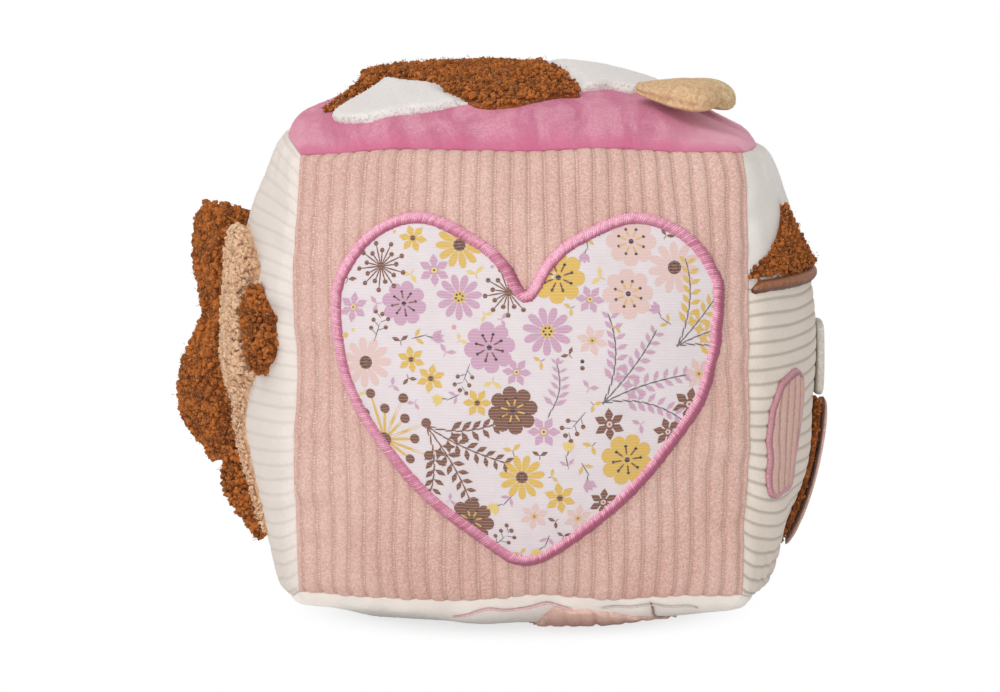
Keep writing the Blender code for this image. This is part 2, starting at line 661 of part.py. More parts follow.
def hanging_piece(name, up_from, up_to, outline_shares, low, thickness, material, pivot):
    """A cloth piece of the side ear, hanging close to the right face."""
    across_shares = (-1.0, -0.5, 0.0, 0.5, 1.0)
    steps = 7

    def place(column, row, side):
        p = column / (steps - 1)
        width = SIDE_EAR_HALF_WIDTH * share_at(outline_shares, p)
        across = SIDE_EAR_ACROSS + across_shares[row] * width
        up = up_from + (up_to - up_from) * p
        round_off = 1 - 0.35 * across_shares[row] ** 4
        return on_block("right", across, up, low + side * thickness * round_off)

    mesh = layered_solid(name, steps, len(across_shares), place)
    return add_part(name, mesh, material, pivot)


def make_right():
    brown_fleece = fabric("right_brown_fleece", "B4652C", 0.95)
    brown_satin = fabric("brown_satin", "8A4A22", 0.4)
    rose_satin = fabric("rose_satin", "C98B96", 0.4)
    pink_corduroy = fabric("right_pink_corduroy", "D9B0A2", 0.9)
    cream_velour = fabric("right_cream_velour", "CFC8BE", 0.85)
    spot = smooth_path(placed(SPOT_SHARES, SPOT_CENTRE, SPOT_SIZE), CURVE_STEPS, True)
    cut_patch("right_fleece_patch", "right", spot, PATCH_GAP, SPOT_THICKNESS, brown_fleece)
    line_ends = ((-RIGHT_SATIN_HALF_LENGTH, RIGHT_SPLIT_HEIGHT), (0.0, RIGHT_SPLIT_HEIGHT),
                 (RIGHT_SATIN_HALF_LENGTH, RIGHT_SPLIT_HEIGHT))
    line = smooth_path(line_ends, 2 * OPEN_PATH_STEPS, False)
    sewn_band("right_satin_line", "right", line, False, SATIN_WIDTH, PATCH_GAP, SATIN_RISE,
              brown_satin)
    arch = smooth_path(placed(ARCH_SHARES, ARCH_CENTRE, ARCH_SIZE), CURVE_STEPS, True)
    sewn_band("right_arch_satin_edge", "right", arch, True, NARROW_SATIN_WIDTH, PATCH_GAP,
              SATIN_RISE, rose_satin)
    cut_patch("right_arch_patch", "right", drawn_in(arch, NARROW_SATIN_WIDTH / 2 + PATCH_GAP),
              PATCH_GAP, ARCH_THICKNESS, pink_corduroy)
    hinge = on_block("right", SIDE_EAR_ACROSS, SIDE_EAR_TOP,
                     PATCH_GAP + SIDE_EAR_ROOT_THICKNESS / 2)
    pivot = add_pivot("side_ear_hinge", hinge)
    hanging_piece("side_ear_root", SIDE_EAR_TOP, SIDE_EAR_SPLIT, SIDE_EAR_ROOT_SHARES,
                  PATCH_GAP, SIDE_EAR_ROOT_THICKNESS, cream_velour, pivot)
    hem = SIDE_EAR_SPLIT - PATCH_GAP
    hanging_piece("side_ear_fleece", hem, SIDE_EAR_TIP, SIDE_EAR_SHARES, PATCH_GAP,
                  SIDE_EAR_FLEECE_THICKNESS, brown_fleece, pivot)
    hanging_piece("side_ear_lining", hem, SIDE_EAR_TIP, SIDE_EAR_SHARES,
                  PATCH_GAP + SIDE_EAR_FLEECE_THICKNESS + PATCH_GAP, SIDE_EAR_LINING_THICKNESS,
                  pink_corduroy, pivot)


# Bottom face: the patch that the block rests on, and a wavy stitched line

def make_bottom():
    pink_corduroy = fabric("base_pink_corduroy", "D9B0A2", 0.9)
    stitch_thread = fabric("stitch_thread", "B98A8C", 0.6)
    outline = placed(BASE_PATCH_SHARES, BASE_PATCH_CENTRE, BASE_PATCH_SIZE)
    base = smooth_path(outline, CURVE_STEPS, True)
    cut_patch("base_patch", "bottom", base, PATCH_GAP, BASE_PATCH_THICKNESS, pink_corduroy)
    line_points = placed(BASE_LINE_SHARES, BASE_LINE_CENTRE, BASE_LINE_SIZE)
    line = smooth_path(line_points, OPEN_PATH_STEPS, False)
    sewn_band("base_stitch_line", "bottom", line, False, STITCH_WIDTH, PATCH_GAP, STITCH_RISE,
              stitch_thread)


# Stuffing in two halves round the rattle capsule

def stuffing_depth():
    return CORDUROY_THICKNESS + PATCH_GAP


def stuffing_half(name, side, material):
    """Half of the stuffing, cut flat at mid height, with a pocket for the capsule."""
    bm = bmesh.new()
    bmesh.ops.create_cube(bm, size=2)
    bmesh.ops.subdivide_edges(bm, edges=bm.edges[:], cuts=STUFFING_CUTS, use_grid_fill=True)
    for vertex in bm.verts:
        cube = vertex.co.copy()
        face = max(FACES, key=lambda key: FACES[key][0].dot(cube))
        _, right, rise, _ = FACES[face]
        across = right.dot(cube) * BLOCK_HALF
        up = rise.dot(cube) * BLOCK_HALF
        vertex.co = on_block(face, across, up, -stuffing_depth())
    cut_height = BLOCK_CENTRE_HEIGHT + side * STUFFING_GAP / 2
    cut = bmesh.ops.bisect_plane(
        bm, geom=bm.verts[:] + bm.edges[:] + bm.faces[:], dist=MERGE_DISTANCE,
        plane_co=(0, 0, cut_height), plane_no=(0, 0, -side), clear_outer=True)
    rim = [item for item in cut["geom_cut"] if isinstance(item, bmesh.types.BMEdge)]
    bmesh.ops.edgeloop_fill(bm, edges=rim)
    half = add_part(name, finish_mesh(name, bm), material)
    pocket = half.modifiers.new("rattle_pocket", "BOOLEAN")
    pocket.object = bpy.data.objects["rattle_pocket"]
    pocket.operation = "DIFFERENCE"
    return half


def make_rattle_pocket():
    """Cutter a little larger than the capsule, all round."""
    bm = bmesh.new()
    bmesh.ops.create_cone(
        bm, cap_ends=True, segments=TURN_STEPS, radius1=RATTLE_RADIUS + 2 * RATTLE_GAP,
        radius2=RATTLE_RADIUS + 2 * RATTLE_GAP, depth=2 * (RATTLE_HALF_HEIGHT + RATTLE_GAP),
        matrix=Matrix.Translation((0, 0, BLOCK_CENTRE_HEIGHT)))
    mesh = bpy.data.meshes.new("rattle_pocket")
    bm.to_mesh(mesh)
    bm.free()
    cutter = bpy.data.objects.new("rattle_pocket", mesh)
    cutter.hide_render = True
    cutter.display_type = "WIRE"
    CUTTERS.objects.link(cutter)


def turned_cup(name, profile, material):
    """A cup turned about the block's upright axis; the profile runs down its outer side."""
    bm = bmesh.new()
    corners = [bm.verts.new((radius, 0, height)) for radius, height in profile]
    for first, second in zip(corners, corners[1:]):
        bm.edges.new((first, second))
    mesh = bpy.data.meshes.new(name)
    bm.to_mesh(mesh)
    bm.free()
    cup = add_part(name, mesh, material)
    cup.location = (0, 0, BLOCK_CENTRE_HEIGHT)
    screw = cup.modifiers.new("turn", "SCREW")
    screw.steps = TURN_STEPS
    screw.render_steps = TURN_STEPS
    screw.use_merge_vertices = True
    screw.merge_threshold = MERGE_DISTANCE
    screw.use_smooth_shade = True
    return cup


def make_rattle():
    clear_plastic = fabric("white_plastic", "E9E6DF", 0.4)
    bead_plastic = fabric("bead_plastic", "D98C9E", 0.35)
    outer = RATTLE_RADIUS
    inner = RATTLE_RADIUS - RATTLE_WALL
    end = RATTLE_HALF_HEIGHT
    rim = RATTLE_GAP / 2
    soft = RATTLE_ROUNDING
    arc = [(math.sin(math.radians(a)), math.cos(math.radians(a))) for a in (0, 30, 60, 90)]
    outer_arc = [(outer - soft + soft * s, end - soft + soft * c) for s, c in arc]
    small = soft - RATTLE_WALL
    inner_arc = [(inner - small + small * s, end - soft + small * c) for s, c in reversed(arc)]
    upper = [(0.0, end)] + outer_arc + [(outer, rim), (inner, rim)] + inner_arc
    upper.append((0.0, end - RATTLE_WALL))
    lower = [(radius, -height) for radius, height in reversed(upper)]
    turned_cup("rattle_case_upper", upper, clear_plastic)
    turned_cup("rattle_case_lower", lower, clear_plastic)
    floor = BLOCK_CENTRE_HEIGHT - end + RATTLE_WALL + RATTLE_GAP + BEAD_RADIUS
    pivot = add_pivot("bead_slide", Vector((0, 0, floor)))
    places = [Vector((0, 0, floor))]
    for i in range(BEAD_RING_COUNT):
        angle = 2 * math.pi * i / BEAD_RING_COUNT
        ring = Vector((math.cos(angle), math.sin(angle), 0)) * BEAD_RING_RADIUS
        places.append(places[0] + ring)
    for number, place in enumerate(places, start=1):
        bm = bmesh.new()
        bmesh.ops.create_icosphere(
            bm, subdivisions=2, radius=BEAD_RADIUS, matrix=Matrix.Translation(place))
        name = f"rattle_bead_{number}"
        add_part(name, finish_mesh(name, bm), bead_plastic, pivot)


def make_inside():
    stuffing = fabric("polyester_stuffing", "F2F0EC", 0.95)
    make_rattle_pocket()
    stuffing_half("stuffing_lower", -1, stuffing)
    stuffing_half("stuffing_upper", 1, stuffing)
    make_rattle()


clear_scene()
BLOCK = new_collection("fabric_block")
CUTTERS = new_collection("cutters")
make_panels()
make_heart()
make_top()
make_left()
make_right()
make_bottom()
make_inside()
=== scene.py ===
"""Looks of the soft fabric block: stuffed cloth panels with sewn patches, a printed heart in a
satin stitched border, curly fleece, plush ears and a hanging side ear, on a pale floor."""
import math
import bmesh
import bpy
import numpy as np
from mathutils import Matrix, Vector


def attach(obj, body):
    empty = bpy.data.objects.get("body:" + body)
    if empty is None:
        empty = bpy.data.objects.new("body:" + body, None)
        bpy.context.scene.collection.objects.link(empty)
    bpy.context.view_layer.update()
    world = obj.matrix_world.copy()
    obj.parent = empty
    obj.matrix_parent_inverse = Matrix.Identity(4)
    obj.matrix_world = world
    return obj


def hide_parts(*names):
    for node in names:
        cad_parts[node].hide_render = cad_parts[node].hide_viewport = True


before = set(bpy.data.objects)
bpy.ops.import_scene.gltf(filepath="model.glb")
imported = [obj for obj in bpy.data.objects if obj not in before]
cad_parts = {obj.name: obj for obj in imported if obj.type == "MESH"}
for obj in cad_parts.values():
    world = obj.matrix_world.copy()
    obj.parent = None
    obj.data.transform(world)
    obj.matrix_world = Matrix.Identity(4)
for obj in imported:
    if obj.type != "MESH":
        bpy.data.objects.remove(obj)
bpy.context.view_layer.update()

# Camera: at the photograph's angle, a little right of the front and a little above the
# block, far enough away that the block's edges stay nearly parallel.
CAMERA_AZIMUTH = math.radians(1.2)
CAMERA_ELEVATION = math.radians(5.2)
CAMERA_DISTANCE = 0.966
CAMERA_LENS_MM = 130.6
CAMERA_AIM = Vector((-0.0061, 0.0, 0.0693))


def new_object(name, data):
    """A new object in the scene."""
    made = bpy.data.objects.new(name, data)
    bpy.context.scene.collection.objects.link(made)
    return made


towards_camera = Vector((
    math.sin(CAMERA_AZIMUTH) * math.cos(CAMERA_ELEVATION),
    -math.cos(CAMERA_AZIMUTH) * math.cos(CAMERA_ELEVATION),
    math.sin(CAMERA_ELEVATION),
))
camera = new_object("camera", bpy.data.cameras.new("camera"))
camera.data.lens = CAMERA_LENS_MM
camera.location = CAMERA_AIM + towards_camera * CAMERA_DISTANCE
camera.rotation_euler = towards_camera.to_track_quat("Z", "Y").to_euler()
bpy.context.scene.camera = camera
bpy.context.scene.view_settings.view_transform = "Standard"

# Floor and light: a white paper floor that keeps the block's soft shadow, a broad lamp
# above the front, a weaker one beside it and an even white room.
FLOOR_HALF_WIDTH = 15.0
FLOOR_SHADOW_RADIUS = 0.036
FLOOR_WHITE_RADIUS = 0.066
FLOOR_GLOW_SHARE = 0.72
ROOM_STRENGTH = 0.6
KEY_WATTS = 8.5
FILL_WATTS = 5.5


def linear(hex_colour):
    """An sRGB hex colour as linear red, green, blue and alpha."""
    channels = [int(hex_colour[start:start + 2], 16) / 255 for start in (0, 2, 4)]
    curve = [c / 12.92 if c <= 0.04045 else ((c + 0.055) / 1.055) ** 2.4 for c in channels]
    return (*curve, 1.0)


def node(tree, kind, inputs=None, **settings):
    """Add a shader node with its settings, socket values and links."""
    made = tree.nodes.new("ShaderNode" + kind)
    for key, value in settings.items():
        setattr(made, key, value)
    for socket, value in (inputs or {}).items():
        if isinstance(value, bpy.types.NodeSocket):
            tree.links.new(value, made.inputs[socket])
        else:
            made.inputs[socket].default_value = value
    return made


def mesh_of(bm, name):
    """A new mesh with what a bmesh holds, which is then freed."""
    mesh = bpy.data.meshes.new(name)
    bm.to_mesh(mesh)
    bm.free()
    return mesh


def seen_directly(tree):
    """1 where the camera or a reflection sees a thing, 0 for the light that it gives."""
    ray = node(tree, "LightPath")
    return node(tree, "Math", {0: ray.outputs["Is Camera Ray"], 1: ray.outputs["Is Glossy Ray"]},
                operation="MAXIMUM").outputs[0]


def white_paper():
    """Matt white paper, which camera rays see as pure white away from the block."""
    paper = bpy.data.materials.new("white_paper")
    paper.use_nodes = True
    tree = paper.node_tree
    shader = tree.nodes["Principled BSDF"]
    shader.inputs["Base Color"].default_value = linear("FAFAFA")
    shader.inputs["Roughness"].default_value = 0.9
    shader.inputs["Specular IOR Level"].default_value = 0.1
    place = node(tree, "TexCoord").outputs["Object"]
    radius = node(tree, "VectorMath", {0: place}, operation="LENGTH").outputs["Value"]
    far = node(tree, "MapRange", {"Value": radius, "From Min": FLOOR_SHADOW_RADIUS,
                                  "From Max": FLOOR_WHITE_RADIUS, "To Min": FLOOR_GLOW_SHARE},
               interpolation_type="SMOOTHSTEP").outputs["Result"]
    white = node(tree, "Math", {0: seen_directly(tree), 1: far}, operation="MULTIPLY")
    glow = node(tree, "Emission", {"Color": linear("FFFFFF"), "Strength": 1.0})
    blend = node(tree, "MixShader", {0: white.outputs[0], 1: shader.outputs[0],
                                     2: glow.outputs[0]})
    tree.links.new(blend.outputs[0], tree.nodes["Material Output"].inputs["Surface"])
    return paper


def area_lamp(name, place, aim, width, watts):
    """A square soft light that shines from its place towards its aim."""
    lamp = new_object(name, bpy.data.lights.new(name, "AREA"))
    lamp.data.shape = "SQUARE"
    lamp.data.size = width
    lamp.data.energy = watts
    lamp.location = place
    lamp.rotation_euler = (Vector(place) - Vector(aim)).to_track_quat("Z", "Y").to_euler()


floor_bm = bmesh.new()
bmesh.ops.create_grid(floor_bm, x_segments=1, y_segments=1, size=FLOOR_HALF_WIDTH)
floor = new_object("floor", mesh_of(floor_bm, "floor"))
floor.data.materials.append(white_paper())
area_lamp("key_lamp", (-0.62, -0.72, 1.25), (0, 0, 0.07), 1.1, KEY_WATTS)
area_lamp("fill_lamp", (-0.05, -1.3, 0.21), (0, 0, 0.04), 0.4, FILL_WATTS)
room = bpy.data.worlds.new("white_room")
room.use_nodes = True
bpy.context.scene.world = room
room_lit, room_white = (
    node(room.node_tree, "Background", {"Color": linear("FFFFFF"), "Strength": strength})
    for strength in (ROOM_STRENGTH, 1.0))
room_mix = node(room.node_tree, "MixShader", {0: seen_directly(room.node_tree),
                                              1: room_lit.outputs[0], 2: room_white.outputs[0]})
room.node_tree.links.new(room_mix.outputs[0], room.node_tree.nodes["World Output"].inputs[0])

# Stuffing: polyester fibre packed by hand, which blows the cube of seams out on every side.
# It fills the cloth closely and leaves a pocket in its middle for the rattle capsule.
HALF_EDGE = 0.0565
CENTRE_HEIGHT = 0.0675
FACE_EDGE_BOW = 0.001
RIGHT_EDGE_BOW = 0.002
LONG_EDGE_BOW = 0.005
TOP_RIGHT_EDGE_BOW = 0.0005
FORWARD_BOW = 0.004
SEAM_TUCK = 0.0015
SEAM_TUCK_REACH = 0.005
CROWN_POWER = 2.2
BOW_POWER = 4
SWELL_REACH = 0.076
PANEL_FLOOR = 0.001
FLOOR_CLEARANCE = 0.00003
TOP_LEFT_FILL = 0.0034
TOP_LEFT_PLACE = (-0.62, -0.05)
TOP_LEFT_SPREAD = 0.09
FILL_DEPTH = 0.0024
FILL_CUTS = 27
POCKET_RADIUS = 0.0188
POCKET_HALF_HEIGHT = 0.0134
LUMP_RISE = 0.0005
LUMP_LENGTHS = (0.031, 0.024, 0.043, 0.036, 0.027, 0.052)
PUCKER_RISE = 0.00022
PUCKER_REACH = 0.014
PUCKER_LENGTHS = (0.0083, 0.0131, 0.0207)

# Each face: outward normal, direction of its "across" and of its "up", and its crown
FACES = {
    "front": ((0, -1, 0), (1, 0, 0), (0, 0, 1), 0.016),
    "back": ((0, 1, 0), (-1, 0, 0), (0, 0, 1), 0.016),
    "left": ((-1, 0, 0), (0, -1, 0), (0, 0, 1), 0.019),
    "right": ((1, 0, 0), (0, 1, 0), (0, 0, 1), 0.021),
    "top": ((0, 0, 1), (1, 0, 0), (0, 1, 0), 0.0195),
    "bottom": ((0, 0, -1), (1, 0, 0), (0, -1, 0), 0.0148),
}


def unit_rows(rows):
    """Each row of an array at length one."""
    return rows / np.linalg.norm(rows, axis=1)[:, None]


lump_turns = unit_rows(np.random.default_rng(11).normal(size=(len(LUMP_LENGTHS), 3)))


def bow_share(along):
    """How far a seam is bowed out along its run: fully in its middle, not at its corners."""
    return 1 - np.abs(along) ** BOW_POWER


def seam_cube(cube):
    """Points of the unit cube at their real size, with the seams bowed outwards."""
    x, y, z = cube.T
    side_bow = np.where(x > 0, RIGHT_EDGE_BOW, FACE_EDGE_BOW)
    rise_bow = np.where((x > 0) & (z > 0), TOP_RIGHT_EDGE_BOW, LONG_EDGE_BOW)
    bow_x = y * y * side_bow * bow_share(z) + z * z * LONG_EDGE_BOW * bow_share(y)
    bow_y = (x * x * bow_share(z) + z * z * bow_share(x)) * FORWARD_BOW
    bow_z = y * y * FACE_EDGE_BOW * bow_share(x) + x * x * rise_bow * bow_share(y)
    return np.stack((x * (HALF_EDGE + bow_x), y * (HALF_EDGE + bow_y),
                     z * (HALF_EDGE + bow_z)), axis=1)


def stuffing_lumps(place):
    """Smooth pushes of the stuffing, the same for all that meets at a seam."""
    push = np.zeros(len(place))
    for number, (turn, length) in enumerate(zip(lump_turns, LUMP_LENGTHS)):
        push += np.sin(2 * math.pi * (place @ turn) / length + 1.7 * number)
    return LUMP_RISE * push / 2


def seam_puckers(s, t, face):
    """Small gathers beside the seams, which fade at the seam and away from it."""
    push = np.zeros(len(s))
    shift = list(FACES).index(face)
    for beside, along in ((s, t), (-s, t), (t, s), (-t, s)):
        shift += 1.3
        depth = np.clip(HALF_EDGE * (1 - beside) / PUCKER_REACH, 0, 1)
        fade = np.sin(math.pi * depth ** 0.6) * (1 - np.abs(along) ** 6)
        for number, length in enumerate(PUCKER_LENGTHS):
            push += fade * np.sin(2 * math.pi * along * HALF_EDGE / length + shift * (number + 2))
    return PUCKER_RISE * push


def on_block(face, across, up, height=0.0, soft=True):
    """Places `height` outside a face's cloth, at (across, up) from the face's middle.

    Cloth past the seam turns in towards the middle of the block.
    """
    normal, right, rise = (np.array(axis, float) for axis in FACES[face][:3])
    crown = FACES[face][3]
    across, up, height = np.broadcast_arrays(np.atleast_1d(across), up, height)
    s = across / HALF_EDGE
    t = up / HALF_EDGE
    rim = np.maximum(np.abs(s), np.abs(t))
    turned_in = HALF_EDGE * np.maximum(rim - 1, 0)
    s, t = np.clip(s, -1, 1), np.clip(t, -1, 1)
    place = seam_cube(normal + s[:, None] * right + t[:, None] * rise)
    swell = crown * (1 - np.abs(s) ** CROWN_POWER) * (1 - np.abs(t) ** CROWN_POWER)
    if face == "top":
        apart = (s - TOP_LEFT_PLACE[0]) ** 2 + (t - TOP_LEFT_PLACE[1]) ** 2
        swell = swell + (TOP_LEFT_FILL * (1 - s ** 2) * (1 - t ** 2)
                         * np.exp(-apart / TOP_LEFT_SPREAD))
    place = place + swell[:, None] * normal
    from_seam = HALF_EDGE * (1 - np.minimum(rim, 1))
    lift = height - turned_in
    lift = lift - SEAM_TUCK * np.maximum(0, 1 - from_seam / SEAM_TUCK_REACH) ** 2
    if soft:
        lift = lift + stuffing_lumps(place) + seam_puckers(s, t, face)
    place = place * (1 + lift / SWELL_REACH)[:, None]
    resting = np.maximum(PANEL_FLOOR - height, FLOOR_CLEARANCE)
    place[:, 2] = np.maximum(place[:, 2] + CENTRE_HEIGHT, resting)
    return place


def new_finish(name, roughness, sheen=0.0, sheen_colour="FFFFFF", specular=0.25, ior=1.5):
    """A new material, its node tree and the place on the object that its patterns read."""
    material = bpy.data.materials.new(name)
    material.use_nodes = True
    tree = material.node_tree
    shader = tree.nodes["Principled BSDF"]
    for socket, value in (("Roughness", roughness), ("Specular IOR Level", specular),
                          ("IOR", ior), ("Sheen Weight", sheen), ("Sheen Roughness", 0.45),
                          ("Sheen Tint", linear(sheen_colour))):
        shader.inputs[socket].default_value = value
    return material, tree, node(tree, "TexCoord").outputs["Object"]


def wash(tree, base, colour, value, start=0.0, end=1.0, most=1.0, smooth=False):
    """Lay a colour over a base where a value runs from one level to another."""
    share = node(tree, "MapRange", {"Value": value, "From Min": start, "From Max": end,
                                    "To Max": most},
                 interpolation_type="SMOOTHSTEP" if smooth else "LINEAR").outputs["Result"]
    under = linear(base) if isinstance(base, str) else base
    return node(tree, "Mix", {0: share, 6: under, 7: linear(colour)}, data_type="RGBA").outputs[2]


def dressed(material, colour, height, strength, depth):
    """Give a material its colour and the relief of its fibres."""
    tree = material.node_tree
    shader = tree.nodes["Principled BSDF"]
    bump = node(tree, "Bump", {"Height": height, "Strength": strength, "Distance": depth})
    tree.links.new(colour, shader.inputs["Base Color"])
    tree.links.new(bump.outputs["Normal"], shader.inputs["Normal"])
    return material


def stuffing_fibre():
    """White polyester fibre: a matt tangle of soft threads about half a millimetre wide."""
    material, tree, place = new_finish("stuffing_fibre", 0.95, sheen=0.2)
    tangle = node(tree, "TexNoise", {"Vector": place, "Scale": 420.0, "Detail": 3.0,
                                     "Distortion": 1.2}).outputs["Fac"]
    return dressed(material, wash(tree, "D9D6D0", "F4F2EE", tangle), tangle, 0.6, 0.0006)


def add_piece(name, mesh, material, body, slot, *stands_for, thickness=0.0):
    """Put a finished mesh in the scene as a piece that moves with a body, in place of the
    solids that it stands for."""
    piece = new_object(name, mesh)
    mesh.materials.append(material)
    mesh.shade_smooth()
    if thickness:
        solid = piece.modifiers.new("cloth_thickness", "SOLIDIFY")
        solid.thickness = thickness
        solid.offset = -1
    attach(piece, body)
    if stands_for:
        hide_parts(*stands_for)
    return piece


def make_stuffing():
    """A cube of fine cells blown out to the inside of the cloth, with the rattle's pocket."""
    bm = bmesh.new()
    bmesh.ops.create_cube(bm, size=2)
    bmesh.ops.subdivide_edges(bm, edges=bm.edges[:], cuts=FILL_CUTS, use_grid_fill=True)
    cubes = np.array([vertex.co for vertex in bm.verts])
    places = np.empty_like(cubes)
    faces = np.argmax([cubes @ np.array(FACES[key][0]) for key in FACES], axis=0)
    for number, key in enumerate(FACES):
        here = faces == number
        across = cubes[here] @ np.array(FACES[key][1]) * HALF_EDGE
        up = cubes[here] @ np.array(FACES[key][2]) * HALF_EDGE
        places[here] = on_block(key, across, up, -FILL_DEPTH)
    for vertex, place in zip(bm.verts, places):
        vertex.co = place
    pocket = bmesh.ops.create_cone(
        bm, cap_ends=True, segments=48, radius1=POCKET_RADIUS, radius2=POCKET_RADIUS,
        depth=2 * POCKET_HALF_HEIGHT, matrix=Matrix.Translation((0, 0, CENTRE_HEIGHT)))
    inner = {face for vertex in pocket["verts"] for face in vertex.link_faces}
    bmesh.ops.reverse_faces(bm, faces=list(inner))
    fill = add_piece("stuffing_fill", mesh_of(bm, "stuffing_fill"), stuffing_fibre(), "block",
                     "stuffing", "stuffing_lower", "stuffing_upper")


make_stuffing()

# Rattle: a two-part polypropylene capsule with five beads loose in it. The mouldings stay
# as the solids have them and get a smooth, faintly rippled plastic finish.


def moulded_plastic(name, colour, shade):
    """Injection moulded polypropylene: satin, slightly waxy, with faint flow ripples."""
    material, tree, place = new_finish(name, 0.38, specular=0.5, ior=1.49)
    flow = node(tree, "TexNoise", {"Vector": place, "Scale": 140.0, "Detail": 2.0}).outputs["Fac"]
    return dressed(material, wash(tree, colour, shade, flow), flow, 0.15, 0.0002)


case_plastic = moulded_plastic("case_plastic", "EDEAE3", "E0DCD2")
bead_plastic = moulded_plastic("bead_plastic", "D98C9E", "C97A8E")
for part_name, plastic in (("rattle_case_lower", case_plastic),
                           ("rattle_case_upper", case_plastic),
                           *((f"rattle_bead_{number}", bead_plastic) for number in range(1, 6))):
    for material_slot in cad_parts[part_name].material_slots:
        material_slot.material = plastic

# Front and back panels: salmon-pink wide-wale cotton corduroy, its ribs upright, cut a seam
# allowance larger than the face and turned in at the seams. A pale ground thread shows in
# dots along the valleys, and the ribs end in round scallops at the seams.
TURN_IN = 0.002
CORDUROY_THICKNESS = 0.0009
PINK_WALES = 29
WALE_COLUMNS = 8
WALE_RISE = 0.00095
CREAM_WALE_RISE = 0.00036
PRESSED_WALE_RISE = 0.00014
WALE_BASE = -0.0003
WALE_SCALLOP = 0.0018
WALE_WAVER = 0.00045
NAP_ROUGHNESS = 0.00002
GROUND_STITCH = 0.0007
PANEL_ROWS = 130
EDGE_PACKING = 1.25
SMOOTH_WAVES = ((0.037, 0.9), (0.061, 1.0), (0.023, 0.55), (0.094, 0.8))


def flat_places(mesh):
    """A flat mesh with its points' x and y."""
    flat = np.empty(len(mesh.vertices) * 3)
    mesh.vertices.foreach_get("co", flat)
    x, y, _ = flat.reshape(-1, 3).T
    return mesh, x.copy(), y.copy()


def cloth_grid(name, columns, rows):
    """A flat grid mesh, with each vertex's place across and along it from -1 to 1."""
    bm = bmesh.new()
    bmesh.ops.create_grid(bm, x_segments=columns, y_segments=rows, size=1)
    return flat_places(mesh_of(bm, name))


def lay_mesh(mesh, points, uv=None):
    """Move a mesh's vertices to their places, and keep a cloth UV map for its material."""
    mesh.vertices.foreach_set("co", np.ascontiguousarray(points, np.float32).ravel())
    if uv is not None:
        layer = mesh.uv_layers.new(name="cloth")
        corner = np.empty(len(mesh.loops), np.int32)
        mesh.loops.foreach_get("vertex_index", corner)
        layer.data.foreach_set("uv", np.asarray(uv, np.float32)[corner].ravel())
    mesh.update()


def edge_packed(along):
    """Grid lines from -1 to 1, closer together towards both ends."""
    return np.sin(along * EDGE_PACKING) / math.sin(EDGE_PACKING)


def smooth_drift(a, b, seed):
    """A slow wavering between about -1 and 1 over two lengths in metres."""
    rng = np.random.default_rng(seed)
    drift = np.zeros(len(a))
    for length, weight in SMOOTH_WAVES:
        angle, phase = rng.uniform(0, 2 * math.pi, 2)
        run = a * math.cos(angle) + b * math.sin(angle)
        drift += weight * np.sin(2 * math.pi * run / length + phase)
    return drift / 2


def corduroy(name, nap, faded, deep, thread, thread_share, valley_shade_share, speckled=1.0):
    """Cut-pile cotton corduroy: matt brushed ribs with a speckled nap, and painted shade in the
    valleys.
    """
    material, tree, place = new_finish(name, 0.95, sheen=0.25, sheen_colour=nap)
    cloth = node(tree, "SeparateXYZ", {0: node(tree, "UVMap", uv_map="cloth").outputs["UV"]})
    speckle, tuft, cloud = (
        node(tree, "TexNoise", {"Vector": place, "Scale": scale, "Detail": detail,
                                "Roughness": roughness}).outputs["Fac"]
        for scale, detail, roughness in ((2300.0, 2.0, 0.7), (1700.0, 3.0, 0.5), (55.0, 3.0, 0.5)))
    strayed = node(tree, "Math", {0: tuft, 1: 0.12, 2: cloth.outputs["X"]},
                   operation="MULTIPLY_ADD").outputs[0]
    centred = node(tree, "Math", {0: strayed, 1: 0.06}, operation="SUBTRACT").outputs[0]
    drawn = node(tree, "Math", {0: cloud, 1: 3.0, 2: cloth.outputs["Y"]},
                 operation="MULTIPLY_ADD").outputs[0]
    valley, stitch = (node(tree, "Math", {0: run, 1: 0.5}, operation="PINGPONG").outputs[0]
                      for run in (centred, drawn))
    colour = wash(tree, nap, faded, cloud, 0.38, 0.66, 0.3, smooth=True)
    colour = wash(tree, colour, faded, speckle, 0.44, 0.6, 0.65 * speckled)
    colour = wash(tree, colour, deep, tuft, 0.6, 0.38, 0.4 * speckled)
    # Painted shade: the deep colour darkens the valleys between the ribs, by valley_shade_share.
    colour = wash(tree, colour, deep, valley, 0.2, 0.02, valley_shade_share, smooth=True)
    dotted = node(tree, "MapRange", {"Value": valley, "From Min": 0.06,
                                     "From Max": 0.02}).outputs["Result"]
    dots = node(tree, "MapRange", {"Value": stitch, "From Min": 0.05, "From Max": 0.32,
                                   "To Max": thread_share}).outputs["Result"]
    for share in (dots, tuft):
        dotted = node(tree, "Math", {0: dotted, 1: share}, operation="MULTIPLY").outputs[0]
    colour = wash(tree, colour, thread, dotted)
    fibres = node(tree, "Math", {0: speckle, 1: tuft}, operation="ADD").outputs[0]
    return dressed(material, colour, fibres, 0.5, 0.0003)


def wale_heights(phase, from_seam, crest_power, rise):
    """Ribs with round crests and narrow valleys that end in scallops at the seam."""
    crest = 1 - np.abs(2 * (phase - np.floor(phase)) - 1) ** crest_power
    ends = np.sqrt(1 - (1 - np.clip(from_seam / WALE_SCALLOP, 0, 1)) ** 2)
    return WALE_BASE + rise * crest * ends


